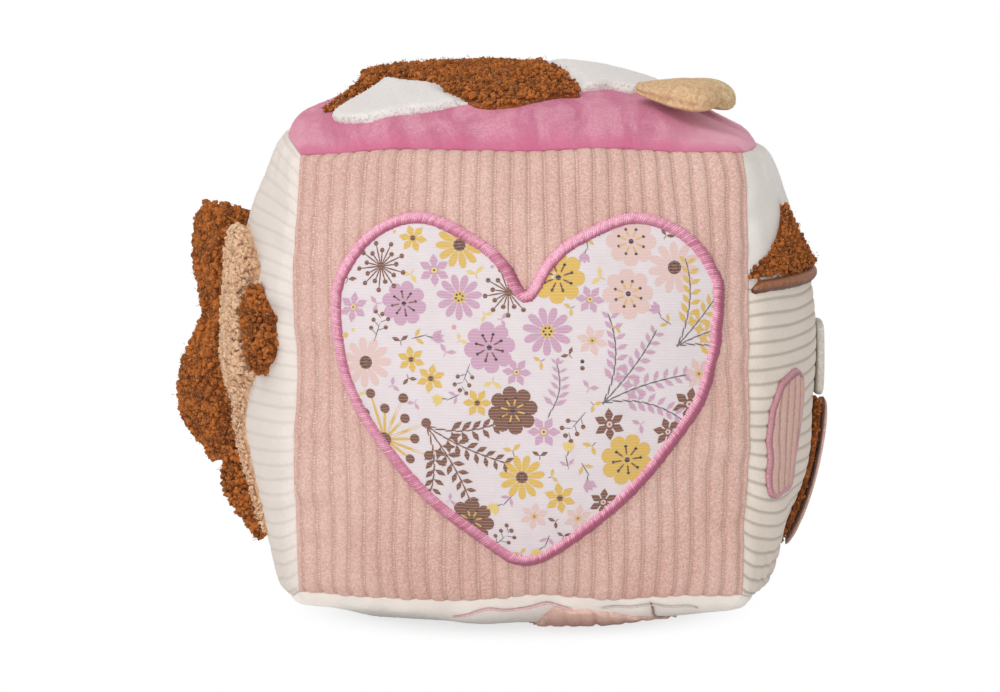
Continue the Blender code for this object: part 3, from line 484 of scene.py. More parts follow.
def corduroy_panel(face, name, solid, material, wales, upright=False, crest_power=3,
                   rise=WALE_RISE, top=None, seed=3):
    """A face's corduroy: its grid lines follow the ribs, which waver a little."""
    side = HALF_EDGE + TURN_IN
    high = side if top is None else top
    sizes = (wales * WALE_COLUMNS, PANEL_ROWS)
    mesh, u, v = cloth_grid(name, *(sizes if upright else sizes[::-1]))
    rib, run = (u, v) if upright else (v, u)
    phase = (rib + 1) / 2 * wales
    along = edge_packed(run) * side
    level = (rib + 1) / 2 * (high + side) - side
    across, up = (rib * side, along) if upright else (along, level)
    rim = np.clip(np.maximum(np.abs(across), np.abs(up)) / HALF_EDGE, 0, 1)
    waver = WALE_WAVER * smooth_drift(across, up, seed) * (1 - rim ** 8)
    across, up = (across + waver, up) if upright else (across, up + waver)
    height = wale_heights(phase, HALF_EDGE * (1 - rim), crest_power, rise)
    height = height + np.random.default_rng(seed).normal(0, NAP_ROUGHNESS, len(height))
    lay_mesh(mesh, on_block(face, across, up, height),
             np.stack((phase, along / GROUND_STITCH), axis=1))
    panel = add_piece(name, mesh, material, "block", "pink_corduroy" if upright
                      else "cream_corduroy", solid, thickness=CORDUROY_THICKNESS)


salmon_corduroy = corduroy("salmon_corduroy", "C8A093", "DFC5BA", "AC8075", "F8E6DA", 1.0, 0.5)
corduroy_panel("front", "front_cloth", "front_panel", salmon_corduroy, PINK_WALES, True, seed=5)
corduroy_panel("back", "back_cloth", "back_panel", salmon_corduroy, PINK_WALES, True, seed=6)

# Side panels: cream cotton corduroy with level ribs on the whole left face and on the lower
# part of the right face. Its ribs are finer and flatter, so only their valleys draw lines, darkened
# by painted shade.
CREAM_WALES = 33
CREAM_LOWER_WALES = 23
RIGHT_SPLIT_HEIGHT = 0.022
cream_corduroy = corduroy("cream_wale_corduroy", "DDD1C5", "E8DED2", "AFA396", "DDD3C7", 0.2,
                          0.7, 0.25)
pressed_corduroy = corduroy("cream_pressed_corduroy", "DCD2CA", "E5DDD7", "C4BAB0", "DAD3CA",
                            0.1, 0.4, 0.2)
corduroy_panel("left", "left_cloth", "left_panel", pressed_corduroy, CREAM_WALES,
               crest_power=7, rise=PRESSED_WALE_RISE, seed=7)
corduroy_panel("right", "right_lower_cloth", "right_panel_lower", cream_corduroy,
               CREAM_LOWER_WALES, crest_power=5, rise=CREAM_WALE_RISE, top=RIGHT_SPLIT_HEIGHT,
               seed=8)

# Velour panels: knitted cotton and polyester velour, dusty rose on top, white on the upper
# right face and cream below. Its short pile lies in brushed streaks, with painted shade along two
# of the seams and painted sheen beside the other two.
VELOUR_THICKNESS = 0.0008
VELOUR_LINES = 150
PILE_ROUGHNESS = 0.000025
VELOUR_FOLD = 0.00035


def velour(name, pile, brushed, deep, seam, side, streak_contrast, left_share=1.0):
    """Short cut pile, matt face on and bright at grazing angles, in streaks a few mm wide.
    Painted sheen makes it paler beside the left and right seams, by left_share on the left, and
    painted shade makes it darker along the seams at its two other edges."""
    material, tree, place = new_finish(name, 0.85, sheen=0.45, sheen_colour=brushed)
    cloth = node(tree, "SeparateXYZ", {0: node(tree, "UVMap", uv_map="cloth").outputs["UV"]})
    leftwards = node(tree, "Math", {0: cloth.outputs["X"], 1: -left_share},
                     operation="MULTIPLY").outputs[0]
    across = node(tree, "Math", {0: cloth.outputs["X"], 1: leftwards},
                  operation="MAXIMUM").outputs[0]
    along = node(tree, "Math", {0: cloth.outputs["Y"]}, operation="ABSOLUTE").outputs[0]
    lain = node(tree, "Mapping", {"Vector": place, "Rotation": (0.0, 0.0, 0.5),
                                  "Scale": (1.0, 0.35, 0.6)}).outputs["Vector"]
    streak = node(tree, "TexNoise", {"Vector": lain, "Scale": 130.0, "Detail": 4.0,
                                     "Roughness": 0.6, "Distortion": 0.6}).outputs["Fac"]
    fibre = node(tree, "TexNoise", {"Vector": place, "Scale": 1700.0,
                                    "Detail": 2.0}).outputs["Fac"]
    colour = wash(tree, pile, brushed, streak, 0.35, 0.65, streak_contrast, smooth=True)
    colour = wash(tree, colour, deep, fibre, 0.6, 0.4, 0.35)
    # Painted sheen beside the left and right seams.
    colour = wash(tree, colour, side, across, 0.5, 0.95, 0.8, smooth=True)
    # Painted shade along the seams at the panel's two other edges.
    colour = wash(tree, colour, seam, along, 0.9, 1.0, 0.75, smooth=True)
    return dressed(material, colour, fibre, 0.4, 0.0003)


def velour_panel(face, name, solid, material, slot, bottom=None, fold=VELOUR_FOLD, seed=21):
    """A face's velour, smooth but for its pile and a few soft folds."""
    side = HALF_EDGE + TURN_IN
    low = -side if bottom is None else bottom
    mesh, u, v = cloth_grid(name, VELOUR_LINES, VELOUR_LINES)
    across = edge_packed(u) * side
    up = low + (edge_packed(v) + 1) / 2 * (side - low)
    rim = np.clip(np.maximum(np.abs(across), np.abs(up)) / HALF_EDGE, 0, 1)
    height = fold * smooth_drift(across * 1.6, up * 1.6, seed) * (1 - rim ** 6)
    height = height + np.random.default_rng(seed).normal(0, PILE_ROUGHNESS, len(height))
    lay_mesh(mesh, on_block(face, across, up, height),
             np.stack((across, up), axis=1) / HALF_EDGE)
    panel = add_piece(name, mesh, material, "block", slot, solid, thickness=VELOUR_THICKNESS)


# The fourth and fifth colours of each velour are its painted seam shade and its painted side sheen.
rose_velour = velour("dusty_rose_velour", "C0708B", "D796A8", "A95671", "BD6080", "DDA6B3",
                     0.9, left_share=0.7)
white_velour = velour("white_cut_velour", "DED8D2", "E8E3DE", "C6BFB9", "CBC2BA", "DCD6D0",
                      0.5)
cream_velour = velour("cream_cut_velour", "F3EDE7", "F7F3EE", "E0D9D0", "E3DBD2", "F0EAE3",
                      0.5)
velour_panel("top", "top_cloth", "top_panel", rose_velour, "rose_velour", seed=22)
velour_panel("right", "right_upper_cloth", "right_panel_upper", white_velour, "white_velour",
             bottom=RIGHT_SPLIT_HEIGHT, seed=23)
velour_panel("bottom", "bottom_cloth", "bottom_panel", cream_velour, "cream_velour",
             fold=0.0003, seed=24)

# Heart: a patch of printed cotton laid on the corduroy over a thin wadding, its raw edge
# held by a satin stitched border. The print is small meadow flowers in soft mustard, lilac,
# rose and brown on white, and the knitted rows of the cloth show through it.
HEART_WIDTH = 0.0918
HEART_HEIGHT = 0.083
HEART_SIDE_SHIFT = 0.0017
HEART_TIP_DROP = 0.0446
HEART_HALF_SHARES = (
    (0.0, 0.775), (0.117, 0.865), (0.25, 0.93), (0.546, 1.0), (0.8, 0.955), (0.974, 0.839),
    (1.0, 0.72), (0.93, 0.53), (0.765, 0.357), (0.51, 0.193), (0.25, 0.075), (0.0, 0.0),
)
HEART_POLE = np.array((0.0017, -0.008))
HEART_LIFT = 0.0009
HEART_WADDING = 0.0008
HEART_WADDING_REACH = 0.009
HEART_RINGS = 60
PATCH_CLOTH_THICKNESS = 0.0004
SATIN_WIDTH = 0.0033
SATIN_RISE = 0.0018
SATIN_THREAD = 0.00054
SATIN_SLANT = 0.4
# Painted light on satin thread: the way on the face that it is lit from, and how far its lit half
# reaches past the middle of a thread.
SATIN_PAINTED_LIGHT_DIRECTION = np.array((-0.7, 0.7))
SATIN_PAINTED_LIGHT_SHIFT = 0.4
PATH_STEP = 0.0008
CURVE_SAMPLES = 24
STITCH_LOW = 0.0002
MOTIF_MARGIN = 0.002
PRINT_LINE = 0.00075
INK_STEP = 0.00003
WELD_DISTANCE = 0.000001


def finish_closed(mesh):
    """Join the points that meet along a seam or at a pole, and turn the faces outwards."""
    bm = bmesh.new()
    bm.from_mesh(mesh)
    bmesh.ops.remove_doubles(bm, verts=bm.verts[:], dist=WELD_DISTANCE)
    bmesh.ops.recalc_face_normals(bm, faces=bm.faces[:])
    if bm.calc_volume(signed=True) < 0:
        bmesh.ops.reverse_faces(bm, faces=bm.faces[:])
    bm.to_mesh(mesh)
    bm.free()


def keep_value(mesh, name, values):
    """Keep a value for each of a mesh's points, which its material reads."""
    layer = mesh.attributes.new(name, "FLOAT", "POINT")
    layer.data.foreach_set("value", values.astype(np.float32))


def tube_grid(name, around, along):
    """A grid for a closed form of rings, with each vertex's angle and share along it."""
    mesh, u, v = cloth_grid(name, around, along)
    return mesh, u * math.pi, (v + 1) / 2


def share_at(shares, value):
    """What a table of places and shares says at a place."""
    return np.interp(value, *zip(*shares))


def smooth_path(knots, closed, step=PATH_STEP):
    """Evenly spaced points along a smooth curve through the given ones."""
    knots = np.array(knots, float)
    if closed:
        knots = np.vstack((knots[-1:], knots, knots[:2]))
    else:
        knots = np.vstack((knots[:1], knots, knots[-1:]))
    shares = np.linspace(0, 1, CURVE_SAMPLES, endpoint=False)[:, None]
    curve = []
    for before, start, end, after in zip(knots, knots[1:], knots[2:], knots[3:]):
        bend = before - 2.5 * start + 2 * end - 0.5 * after
        twist = 1.5 * (start - end) + 0.5 * (after - before)
        curve.append(start + shares * (end - before) / 2 + shares ** 2 * bend
                     + shares ** 3 * twist)
    curve = np.vstack((*curve, knots[-2:-1]))
    run = np.concatenate(([0], np.cumsum(np.linalg.norm(np.diff(curve, axis=0), axis=1))))
    marks = np.linspace(0, run[-1], max(8, round(run[-1] / step)) + 1)
    even = along_path(marks, run, curve)
    return even[:-1] if closed else even


def along_path(marks, run, path):
    """Places on a path where its run reaches each mark."""
    return np.stack([np.interp(marks, run, path[:, axis]) for axis in (0, 1)], axis=1)


def nearest_on(x, y, outline):
    """For each point: its distance from a closed outline, positive inside, and the place."""
    point = np.stack((x, y), axis=1)[:, None]
    start = outline[None]
    run = np.roll(outline, -1, axis=0)[None] - start
    share = np.clip(((point - start) * run).sum(2) / (run ** 2).sum(2), 0, 1)
    foot = start + share[..., None] * run
    gap = np.linalg.norm(point - foot, axis=2)
    closest = np.argmin(gap, axis=1)
    every = np.arange(len(x))
    ay, by = outline[:, 1], np.roll(outline[:, 1], -1)
    ax, bx = outline[:, 0], np.roll(outline[:, 0], -1)
    level = np.where(by == ay, 1.0, by - ay)
    spans = (ay[None] > y[:, None]) != (by[None] > y[:, None])
    left_of = x[:, None] < ax + (y[:, None] - ay) * (bx - ax) / level
    inside = (spans & left_of).sum(1) % 2 == 1
    distance = gap[every, closest]
    return np.where(inside, distance, -distance), foot[every, closest]


def satin_ribbon(name, face, path, closed, width, low, rise, material, slot, *solid,
                 seed=31):
    """A raised satin stitch: threads laid side by side across a line, a little unevenly."""
    loop = np.vstack((path[-1:], path, path[:1])) if closed else path
    run = np.gradient(loop, axis=0)
    run = run[1:-1] if closed else run
    normal = unit_rows(np.stack((-run[:, 1], run[:, 0]), axis=1))
    if closed:
        path = np.vstack((path, path[:1]))
        normal = np.vstack((normal, normal[:1]))
    length = np.linalg.norm(np.diff(path, axis=0), axis=1).sum()
    threads = max(6, round(length / SATIN_THREAD))
    rows = threads * 3
    mesh, angle, share = tube_grid(name, 12, rows)
    row = np.rint(share * rows).astype(int)
    mark = row / rows * (len(path) - 1) + SATIN_SLANT * width / 2 / PATH_STEP * np.cos(angle)
    mark = np.mod(mark, len(path) - 1) if closed else np.clip(mark, 0, len(path) - 1)
    place, side = (along_path(mark, np.arange(len(path)), line) for line in (path, normal))
    rng = np.random.default_rng(seed)
    thread = (row // 3) % threads
    reach = 1 + rng.uniform(-0.07, 0.07, threads)[thread]
    shift = rng.uniform(-0.04, 0.04, threads)[thread]
    between = row % 3 == 0
    # Rows between threads get tint 0, the plain thread colour: painted shade in the grooves between
    # threads.
    tint = np.where(between, 0.0, rng.uniform(0.1, 1, threads)[thread])
    wide = width / 2 * (np.cos(angle) * reach * np.where(between, 0.95, 1.0) + shift)
    tall = rise * np.maximum(np.sin(angle), -0.2) * np.where(between, 0.84, 1.0)
    if not closed:
        end = np.clip(np.minimum(row, rows - row) / 9, 0, 1) ** 0.5
        wide, tall = wide * end, tall * end
    across, up = (place + side * wide[:, None]).T
    lay_mesh(mesh, on_block(face, across, up, low + tall))
    keep_value(mesh, "tint", tint)
    # Painted light: how far each point of a thread faces the upper left, which the thread's
    # material paints as highlight or shade.
    keep_value(mesh, "painted_light_side", (np.cos(angle) + SATIN_PAINTED_LIGHT_SHIFT) * (side @ SATIN_PAINTED_LIGHT_DIRECTION))
    finish_closed(mesh)
    return add_piece(name, mesh, material, "block", slot, *solid)


def satin_thread(name, thread, shade, thread_tone_and_painted_highlight):
    """Trilobal polyester embroidery thread, with painted light: a painted highlight on the half
    of each thread that faces the upper left, and painted shade on the half that faces the lower
    right."""
    material, tree, place = new_finish(name, 0.38, sheen=0.05, specular=0.5)
    tint, painted_light_side = (node(tree, "Attribute", attribute_name=kept).outputs["Fac"]
                 for kept in ("tint", "painted_light_side"))
    twist = node(tree, "TexNoise", {"Vector": place, "Scale": 2100.0,
                                    "Detail": 2.0}).outputs["Fac"]
    colour = wash(tree, thread, thread_tone_and_painted_highlight, tint)
    # Painted highlight on the half of each thread that faces the upper left.
    colour = wash(tree, colour, thread_tone_and_painted_highlight, painted_light_side, -0.1, 0.5, 0.72)
    colour = wash(tree, colour, shade, twist, 0.56, 0.4, 0.35)
    # Painted shade on the half of each thread that faces the lower right.
    colour = wash(tree, colour, shade, painted_light_side, 0.08, -0.3, 0.92)
    return dressed(material, colour, twist, 0.35, 0.0002)


def print_cotton(name, inked):
    """Fine white cotton knit: matt, with level rows of loops about three to the mm."""
    material, tree, place = new_finish(name, 0.85, sheen=0.1)
    level = node(tree, "SeparateXYZ", {0: place}).outputs["Z"]
    waver = node(tree, "TexNoise", {"Vector": place, "Scale": 260.0, "Detail": 2.0}).outputs["Fac"]
    row = node(tree, "Math", {0: level, 1: 1 / PRINT_LINE, 2: waver},
               operation="MULTIPLY_ADD").outputs[0]
    loop = node(tree, "Math", {0: row, 1: 0.5}, operation="PINGPONG").outputs[0]
    if inked:
        dye = node(tree, "Attribute", attribute_name="print_colour").outputs["Color"]
    else:
        dye = wash(tree, "D8CECF", "CCC2C5", waver)
    colour = wash(tree, dye, "D8D0D1" if inked else "AFA4A8", loop, 0.2, 0.02, 0.22)
    return dressed(material, colour, loop, 0.25, 0.0002)


heart_right = [(x * HEART_WIDTH / 2, y * HEART_HEIGHT) for x, y in HEART_HALF_SHARES]
heart_left = [(-x, y) for x, y in reversed(heart_right[1:-1])]
heart_outline = smooth_path([(x + HEART_SIDE_SHIFT, y - HEART_TIP_DROP)
                             for x, y in heart_right + heart_left], True)


def heart_height(x, y):
    """The heart's cloth rises softly from its border over the wadding."""
    inner = np.clip(nearest_on(x, y, heart_outline)[0] / HEART_WADDING_REACH, 0, 1)
    return HEART_LIFT + HEART_WADDING * (1 - (1 - inner) ** 2)


def make_heart_cloth():
    """The heart's cloth, from its middle out to its edge in rings."""
    edge_points = len(heart_outline)
    mesh, round_it, out = cloth_grid("heart_cloth", edge_points, HEART_RINGS)
    edge = heart_outline[np.rint((round_it + 1) / 2 * edge_points).astype(int) % edge_points]
    x, y = (HEART_POLE + (edge - HEART_POLE) * ((out + 1) / 2)[:, None]).T
    lay_mesh(mesh, on_block("front", x, y, heart_height(x, y)))
    finish_closed(mesh)
    if mesh.polygons[0].normal.y > 0:
        mesh.flip_normals()
    return add_piece("heart_cloth", mesh, print_cotton("white_print_cotton", False), "block",
                     "floral_cotton", "heart_patch", thickness=PATCH_CLOTH_THICKNESS)


# The print's motifs. Each is drawn on the flat cloth, in shares of its own size from its
# middle, and is sized, turned and laid where its middle falls.
MUSTARD, LILAC, BROWN_INK = linear("CBA856"), linear("BB95AA"), linear("775344")
PALE_PINK, PALE_YELLOW, ROSE_INK = linear("CFB2AC"), linear("D2BA6E"), linear("CF8D9D")
DARK_INK, TWIG_INK = linear("4A3F42"), linear("6B6264")
PRINT_SEED = 77
DART_THROWS = 4000
UPRIGHT = 1.57

# Flowers seen from above, as rings of like shapes. Each ring: its ink (petals, middle or
# dark), how many shapes, its radius, a shape's length and width, the ring's turn and level,
# and whether a shape is pointed and how much it splays.
DAISY = ((0, 11, 0.6, 0.78, 0.3, 0, 1, False, 0.35), (1, 1, 0, 0.52, 0.52, 0, 2, False, 0),
         (2, 6, 0.15, 0.09, 0.09, 0, 3, False, 0))
ROSETTE = ((0, 8, 0.62, 0.74, 0.56, 0, 1, False, 0.3), (0, 1, 0, 1, 1, 0, 1, False, 0),
           (1, 8, 0.36, 0.34, 0.07, 0.39, 2, False, 0),
           (2, 8, 0.52, 0.12, 0.12, 0.39, 2, False, 0), (2, 1, 0, 0.2, 0.2, 0, 3, False, 0))
SEED_HEAD = ((0, 9, 0.49, 0.98, 0.06, 0.98, 1, False, 0), (1, 9, 0.98, 0.2, 0.2, 0.98, 2, False, 0),
             (0, 9, 0.33, 0.66, 0.06, 0.66, 1, False, 0), (1, 9, 0.66, 0.2, 0.2, 0.66, 2, False, 0),
             (1, 1, 0, 0.3, 0.3, 0, 3, False, 0))
BLOSSOM = ((0, 6, 0.55, 0.85, 0.5, 0, 1, True, 0), (0, 1, 0, 0.6, 0.6, 0, 1, False, 0),
           (1, 1, 0, 0.36, 0.36, 0, 2, False, 0), (2, 1, 0, 0.12, 0.12, 0, 3, False, 0))
DOT = ((0, 1, 0, 1.6, 1.6, 0, 1, False, 0),)


def ink(bm, colour, x, y, length, width, angle, level, pointed=False, splayed=0.0):
    """One inked shape: a round or a petal, or a leaf where pointed, as a small fan."""
    layer = bm.verts.layers.float_color["print_colour"]
    made = bmesh.ops.create_circle(bm, cap_ends=True, cap_tris=True, segments=12, radius=1)
    for vertex in made["verts"]:
        along, aside = vertex.co.x, vertex.co.y
        if pointed:
            aside *= 1 - abs(along) ** 1.6
        aside *= 1 + splayed * along
        along *= length / 2
        aside *= width / 2
        vertex.co = (x + along * math.cos(angle) - aside * math.sin(angle),
                     y + along * math.sin(angle) + aside * math.cos(angle), level)
        vertex[layer] = colour


def ring_flower(bm, rings, inks):
    """A flower seen from above, drawn ring by ring."""
    for number, count, radius, length, width, turn, level, pointed, splayed in rings:
        for i in range(count):
            a = turn + 2 * math.pi * i / count
            ink(bm, (*inks[:2], DARK_INK)[number], radius * math.cos(a), radius * math.sin(a),
                length, width, a, level, pointed, splayed)


def bellflower(bm, petals, middle, rng):
    """A nodding bell on a bent stem with two leaves."""
    ink(bm, TWIG_INK, 0, -0.5, 1.0, 0.07, UPRIGHT, 1)
    ink(bm, TWIG_INK, 0.18, 0.1, 0.5, 0.07, 1.1, 1)
    for side in (-1, 1):
        ink(bm, middle, side * 0.26, -0.55, 0.62, 0.24, UPRIGHT - side * 0.85, 1, pointed=True)
    for lean in (-0.5, 0.0, 0.5):
        ink(bm, petals, 0.3 + 0.3 * lean, 0.5, 0.85, 0.42, UPRIGHT - lean, 2, pointed=True,
            splayed=-0.2)


def leaf_spray(bm, leaf, stem, rng):
    """A bent twig with pairs of pointed leaves that shorten towards its tip."""
    bend = rng.uniform(-0.25, 0.25)
    for i in range(7):
        t = i / 6
        x, y = bend * math.sin(math.pi * t), 2 * t - 1
        ink(bm, stem, x, y, 0.42, 0.05, UPRIGHT - bend * math.cos(math.pi * t), 1)
        if i:
            reach = 0.62 - 0.3 * t
            for side in (-1, 1):
                ink(bm, leaf, x + side * 0.42 * reach, y + 0.3 * reach, reach, 0.34 * reach,
                    UPRIGHT - side * 0.95, 2, pointed=True)
    ink(bm, leaf, bend * 0.1, 1.12, 0.36, 0.14, UPRIGHT, 2, pointed=True)


def fan_spray(bm, leaf, stem, rng):
    """Leafy stems that fan out from one foot, with many small leaves."""
    for lean in (-0.75, -0.25, 0.3, 0.8):
        for i in range(9):
            t = (i + 0.5) / 9
            turn = lean * (0.55 + 0.6 * t)
            x, y = 1.95 * t * math.sin(turn), 1.95 * t * math.cos(turn) - 1
            ink(bm, stem, x, y, 0.26, 0.035, UPRIGHT - 1.5 * turn, 1)
            reach = 0.34 - 0.12 * t
            for side in (-1, 1) if i > 1 else ():
                way = UPRIGHT - turn - side * 0.9
                ink(bm, leaf, x + 0.55 * reach * math.cos(way), y + 0.55 * reach * math.sin(way),
                    reach, 0.42 * reach, way, 2, pointed=True)


def berry_branch(bm, berry, stem, rng):
    """A forked twig with round berries at its ends."""
    ink(bm, stem, 0, -0.35, 1.3, 0.06, UPRIGHT, 1)
    for i, side in enumerate((-1, 1, -1, 1, -1)):
        y = -0.5 + 0.28 * i
        ink(bm, stem, side * 0.2, y + 0.14, 0.5, 0.05, UPRIGHT - side * 0.95, 1)
        ink(bm, berry, side * 0.46, y + 0.33, 0.28, 0.28, 0, 2)
    ink(bm, berry, 0, 0.9, 0.3, 0.3, 0, 2)


def leaf_pair(bm, leaf, stem, rng):
    """Two leaves on a short stem."""
    for side in (-1, 1):
        ink(bm, leaf, side * 0.42, 0.1, 0.95, 0.42, side * 0.5, 1, pointed=True)
    ink(bm, stem, 0, -0.35, 0.6, 0.08, UPRIGHT, 1)


# Motifs from large to small: how many, their sizes, the gap between them as a share of
# their reach, and the motifs with their inks, taken in turn
MOTIFS = (
    (4, (0.0105, 0.012), 0.8, (
        (fan_spray, LILAC, TWIG_INK), (fan_spray, BROWN_INK, BROWN_INK),
        (SEED_HEAD, MUSTARD, BROWN_INK), (fan_spray, MUSTARD, TWIG_INK))),
    (17, (0.0053, 0.0065), 0.9, (
        (ROSETTE, LILAC, BROWN_INK), (DAISY, MUSTARD, BROWN_INK), (ROSETTE, PALE_PINK, MUSTARD),
        (ROSETTE, MUSTARD, BROWN_INK), (DAISY, LILAC, MUSTARD), (ROSETTE, BROWN_INK, MUSTARD),
        (DAISY, PALE_PINK, BROWN_INK), (SEED_HEAD, BROWN_INK, BROWN_INK),
        (leaf_spray, LILAC, TWIG_INK))),
    (30, (0.0034, 0.0043), 0.88, (
        (BLOSSOM, LILAC, PALE_YELLOW), (BLOSSOM, MUSTARD, BROWN_INK),
        (bellflower, PALE_YELLOW, LILAC), (BLOSSOM, PALE_PINK, MUSTARD),
        (berry_branch, BROWN_INK, TWIG_INK), (BLOSSOM, BROWN_INK, PALE_PINK),
        (bellflower, LILAC, MUSTARD))),
    (60, (0.002, 0.0028), 0.85, (
        (leaf_pair, MUSTARD, TWIG_INK), (leaf_pair, BROWN_INK, BROWN_INK),
        (leaf_pair, LILAC, LILAC), (leaf_pair, PALE_YELLOW, MUSTARD))),
    (120, (0.0005, 0.0009), 1.15, tuple(
        (DOT, colour, colour)
        for colour in (MUSTARD, LILAC, BROWN_INK, ROSE_INK, DARK_INK, PALE_YELLOW))),
)


def scatter_motifs(rng):
    """Throw motifs on the heart, large ones first, so that none covers another."""
    low, high = heart_outline.min(0), heart_outline.max(0)
    thrown = []
    for count, sizes, gap, choices in MOTIFS:
        kept = 0
        for _ in range(DART_THROWS):
            place = rng.uniform(low, high)
            size = rng.uniform(*sizes)
            inside = nearest_on(place[:1], place[1:], heart_outline)[0][0]
            if inside < MOTIF_MARGIN - 0.1 * size:
                continue
            if all(math.dist(place, other) > gap * (size + reach) for other, reach, _ in thrown):
                thrown.append((place, size, choices[kept % len(choices)]))
                kept += 1
            if kept == count:
                break
    return thrown


def make_print():
    """The inked motifs, a few hundredths of a millimetre over the heart's cloth."""
    rng = np.random.default_rng(PRINT_SEED)
    bm = bmesh.new()
    bm.verts.layers.float_color.new("print_colour")
    for (x, y), size, (motif, *inks) in scatter_motifs(rng):
        start = len(bm.verts)
        if callable(motif):
            motif(bm, *inks, rng)
        else:
            ring_flower(bm, motif, inks)
        bm.verts.ensure_lookup_table()
        laid = (Matrix.Translation((x, y, 0))
                @ Matrix.Rotation(rng.uniform(0, 2 * math.pi), 4, "Z")
                @ Matrix.Diagonal((size, size, 1, 1)))
        bmesh.ops.transform(bm, matrix=laid, verts=bm.verts[start:])
    flat = np.array([vertex.co for vertex in bm.verts])
    distance, foot = nearest_on(flat[:, 0], flat[:, 1], heart_outline)
    beyond = distance < SATIN_WIDTH / 4
    flat[beyond, :2] = (foot + unit_rows(HEART_POLE - foot) * SATIN_WIDTH / 4)[beyond]
    height = heart_height(flat[:, 0], flat[:, 1]) + INK_STEP * (flat[:, 2] + 0.5)
    for vertex, place in zip(bm.verts, on_block("front", flat[:, 0], flat[:, 1], height)):
        vertex.co = place
    return add_piece("heart_print", mesh_of(bm, "heart_print"),
                     print_cotton("printed_ink_cotton", True), "block", "floral_cotton")


heart_cloth = make_heart_cloth()
heart_print = make_print()
# Thread colour, then the colours of its painted shade and painted highlight.
pink_satin = satin_thread("pink_satin_thread", "BA5F7E", "954460", "F3B8CB")
heart_edge = satin_ribbon("heart_border", "front", heart_outline, True, SATIN_WIDTH, STITCH_LOW,
                          SATIN_RISE, pink_satin, "pink_satin", "heart_satin_edge")

# Top patches: a head-shaped patch of white plush with a crest of brown curly fleece on it
# and a strip of the same fleece beside it. The pieces are cut out, laid on the velour and
# stitched down through their pile, which hides the stitches.
HEAD_CENTRE = (-0.0039, -0.005)
HEAD_SIZE = (0.0768, 0.084)
HEAD_SHARES = (
    (-1.06, -0.857), (-1.0, -0.952), (-0.87, -1.0), (-0.706, -0.988), (-0.549, -0.952),
    (-0.406, -0.917), (-0.211, -0.869), (-0.029, -0.895), (0.076, -0.881), (0.206, -0.81),
    (0.336, -0.714), (0.474, -0.62), (0.57, -0.56), (0.661, -0.49), (0.779, -0.48),
    (0.844, -0.45), (0.896, -0.38), (0.987, -0.31), (1.0, -0.167), (0.935, 0.119),
    (0.883, 0.357), (0.701, 0.786), (0.336, 1.0), (-0.211, 1.0), (-0.654, 0.833),
    (-0.701, 0.31), (-0.701, 0.0), (-0.73, -0.262), (-0.84, -0.455), (-0.98, -0.7),
)
HEAD_RISE = 0.0017
CREST_CENTRE = (-0.0076, -0.0164)
CREST_SIZE = (0.0432, 0.0548)
CREST_SHARES = (
    (-0.19, -0.938), (-0.051, -0.989), (0.106, -1.0), (0.306, -0.978), (0.542, -0.865),
    (0.769, -0.723), (1.0, -0.668), (0.995, -0.573), (0.926, -0.332), (0.662, 0.058),
    (0.537, 0.599), (0.259, 0.891), (-0.204, 1.0), (-0.72, 0.927), (-1.1, 0.672),
    (-1.18, 0.307), (-1.06, -0.007), (-0.83, -0.24), (-0.58, -0.398), (-0.491, -0.613),
    (-0.347, -0.774),
)
CREST_BASE = 0.0008
TOP_MANE_CENTRE = (-0.0402, -0.0133)
TOP_MANE_SIZE = (0.01, 0.0445)
TOP_MANE_WIDTH = 0.0062
TOP_MANE_RISE = ((-0.03, -0.014), (0.0002, 0.0011))
LOOSE_TUFT_ACROSS = -0.0378
LOOSE_TUFT_UP = -0.0195
TOP_MANE_SHARES = (
    (-0.75, -0.95), (-0.3, -0.74), (0.45, -0.37), (1.0, 0.013), (1.0, 1.0),
)
STRIP_END_SHARE = 0.3
PATCH_LOW = 0.0003
PATCH_SINK = 0.0009
CUT_PITCH = 0.001
CURL_SIDES = 5
CURL_RINGS = 9
CURL_KINDS = 7
CURL_LOOP = 0.00056
CURL_THREAD = 0.00052
CURL_SPACING = 0.00138
CURL_LIFT = 0.0006
CURL_LAYER = 0.0017
TUFT_SPACING = 0.0006
TUFT_RADIUS = 0.0002
FRINGE_WIDTH = 0.001
FIBRE_LENGTH = 0.0009
FIBRES_PER_CURL = 2
FIBRE_STRAY = 0.0005
FIBRE_RADIUS = 0.00007
PATCH_ROUNDING = 0.0018
FACE_STEP = 0.0004


def placed(shares, centre, size):
    """Points of an outline given as shares of its half sizes, in metres on the face."""
    return [(centre[0] + u * size[0] / 2, centre[1] + v * size[1] / 2) for u, v in shares]


def cut_cloth(name, outline, pitch=CUT_PITCH):
    """Flat cloth cut to an outline and divided by a grid, with its points' places."""
    bm = bmesh.new()
    bm.faces.new([bm.verts.new((x, y, 0)) for x, y in outline])
    for axis in (0, 1):
        way = (1, 0, 0) if axis == 0 else (0, 1, 0)
        low, high = outline[:, axis].min(), outline[:, axis].max()
        for line in np.arange(math.ceil(low / pitch) * pitch, high, pitch):
            bmesh.ops.bisect_plane(bm, geom=bm.verts[:] + bm.edges[:] + bm.faces[:],
                                   dist=pitch / 100, plane_co=np.array(way) * line, plane_no=way)
    bmesh.ops.triangulate(bm, faces=bm.faces[:])
    bmesh.ops.recalc_face_normals(bm, faces=bm.faces[:])
    if bm.faces[:][0].normal.z < 0:
        bmesh.ops.reverse_faces(bm, faces=bm.faces[:])
    return flat_places(mesh_of(bm, name))


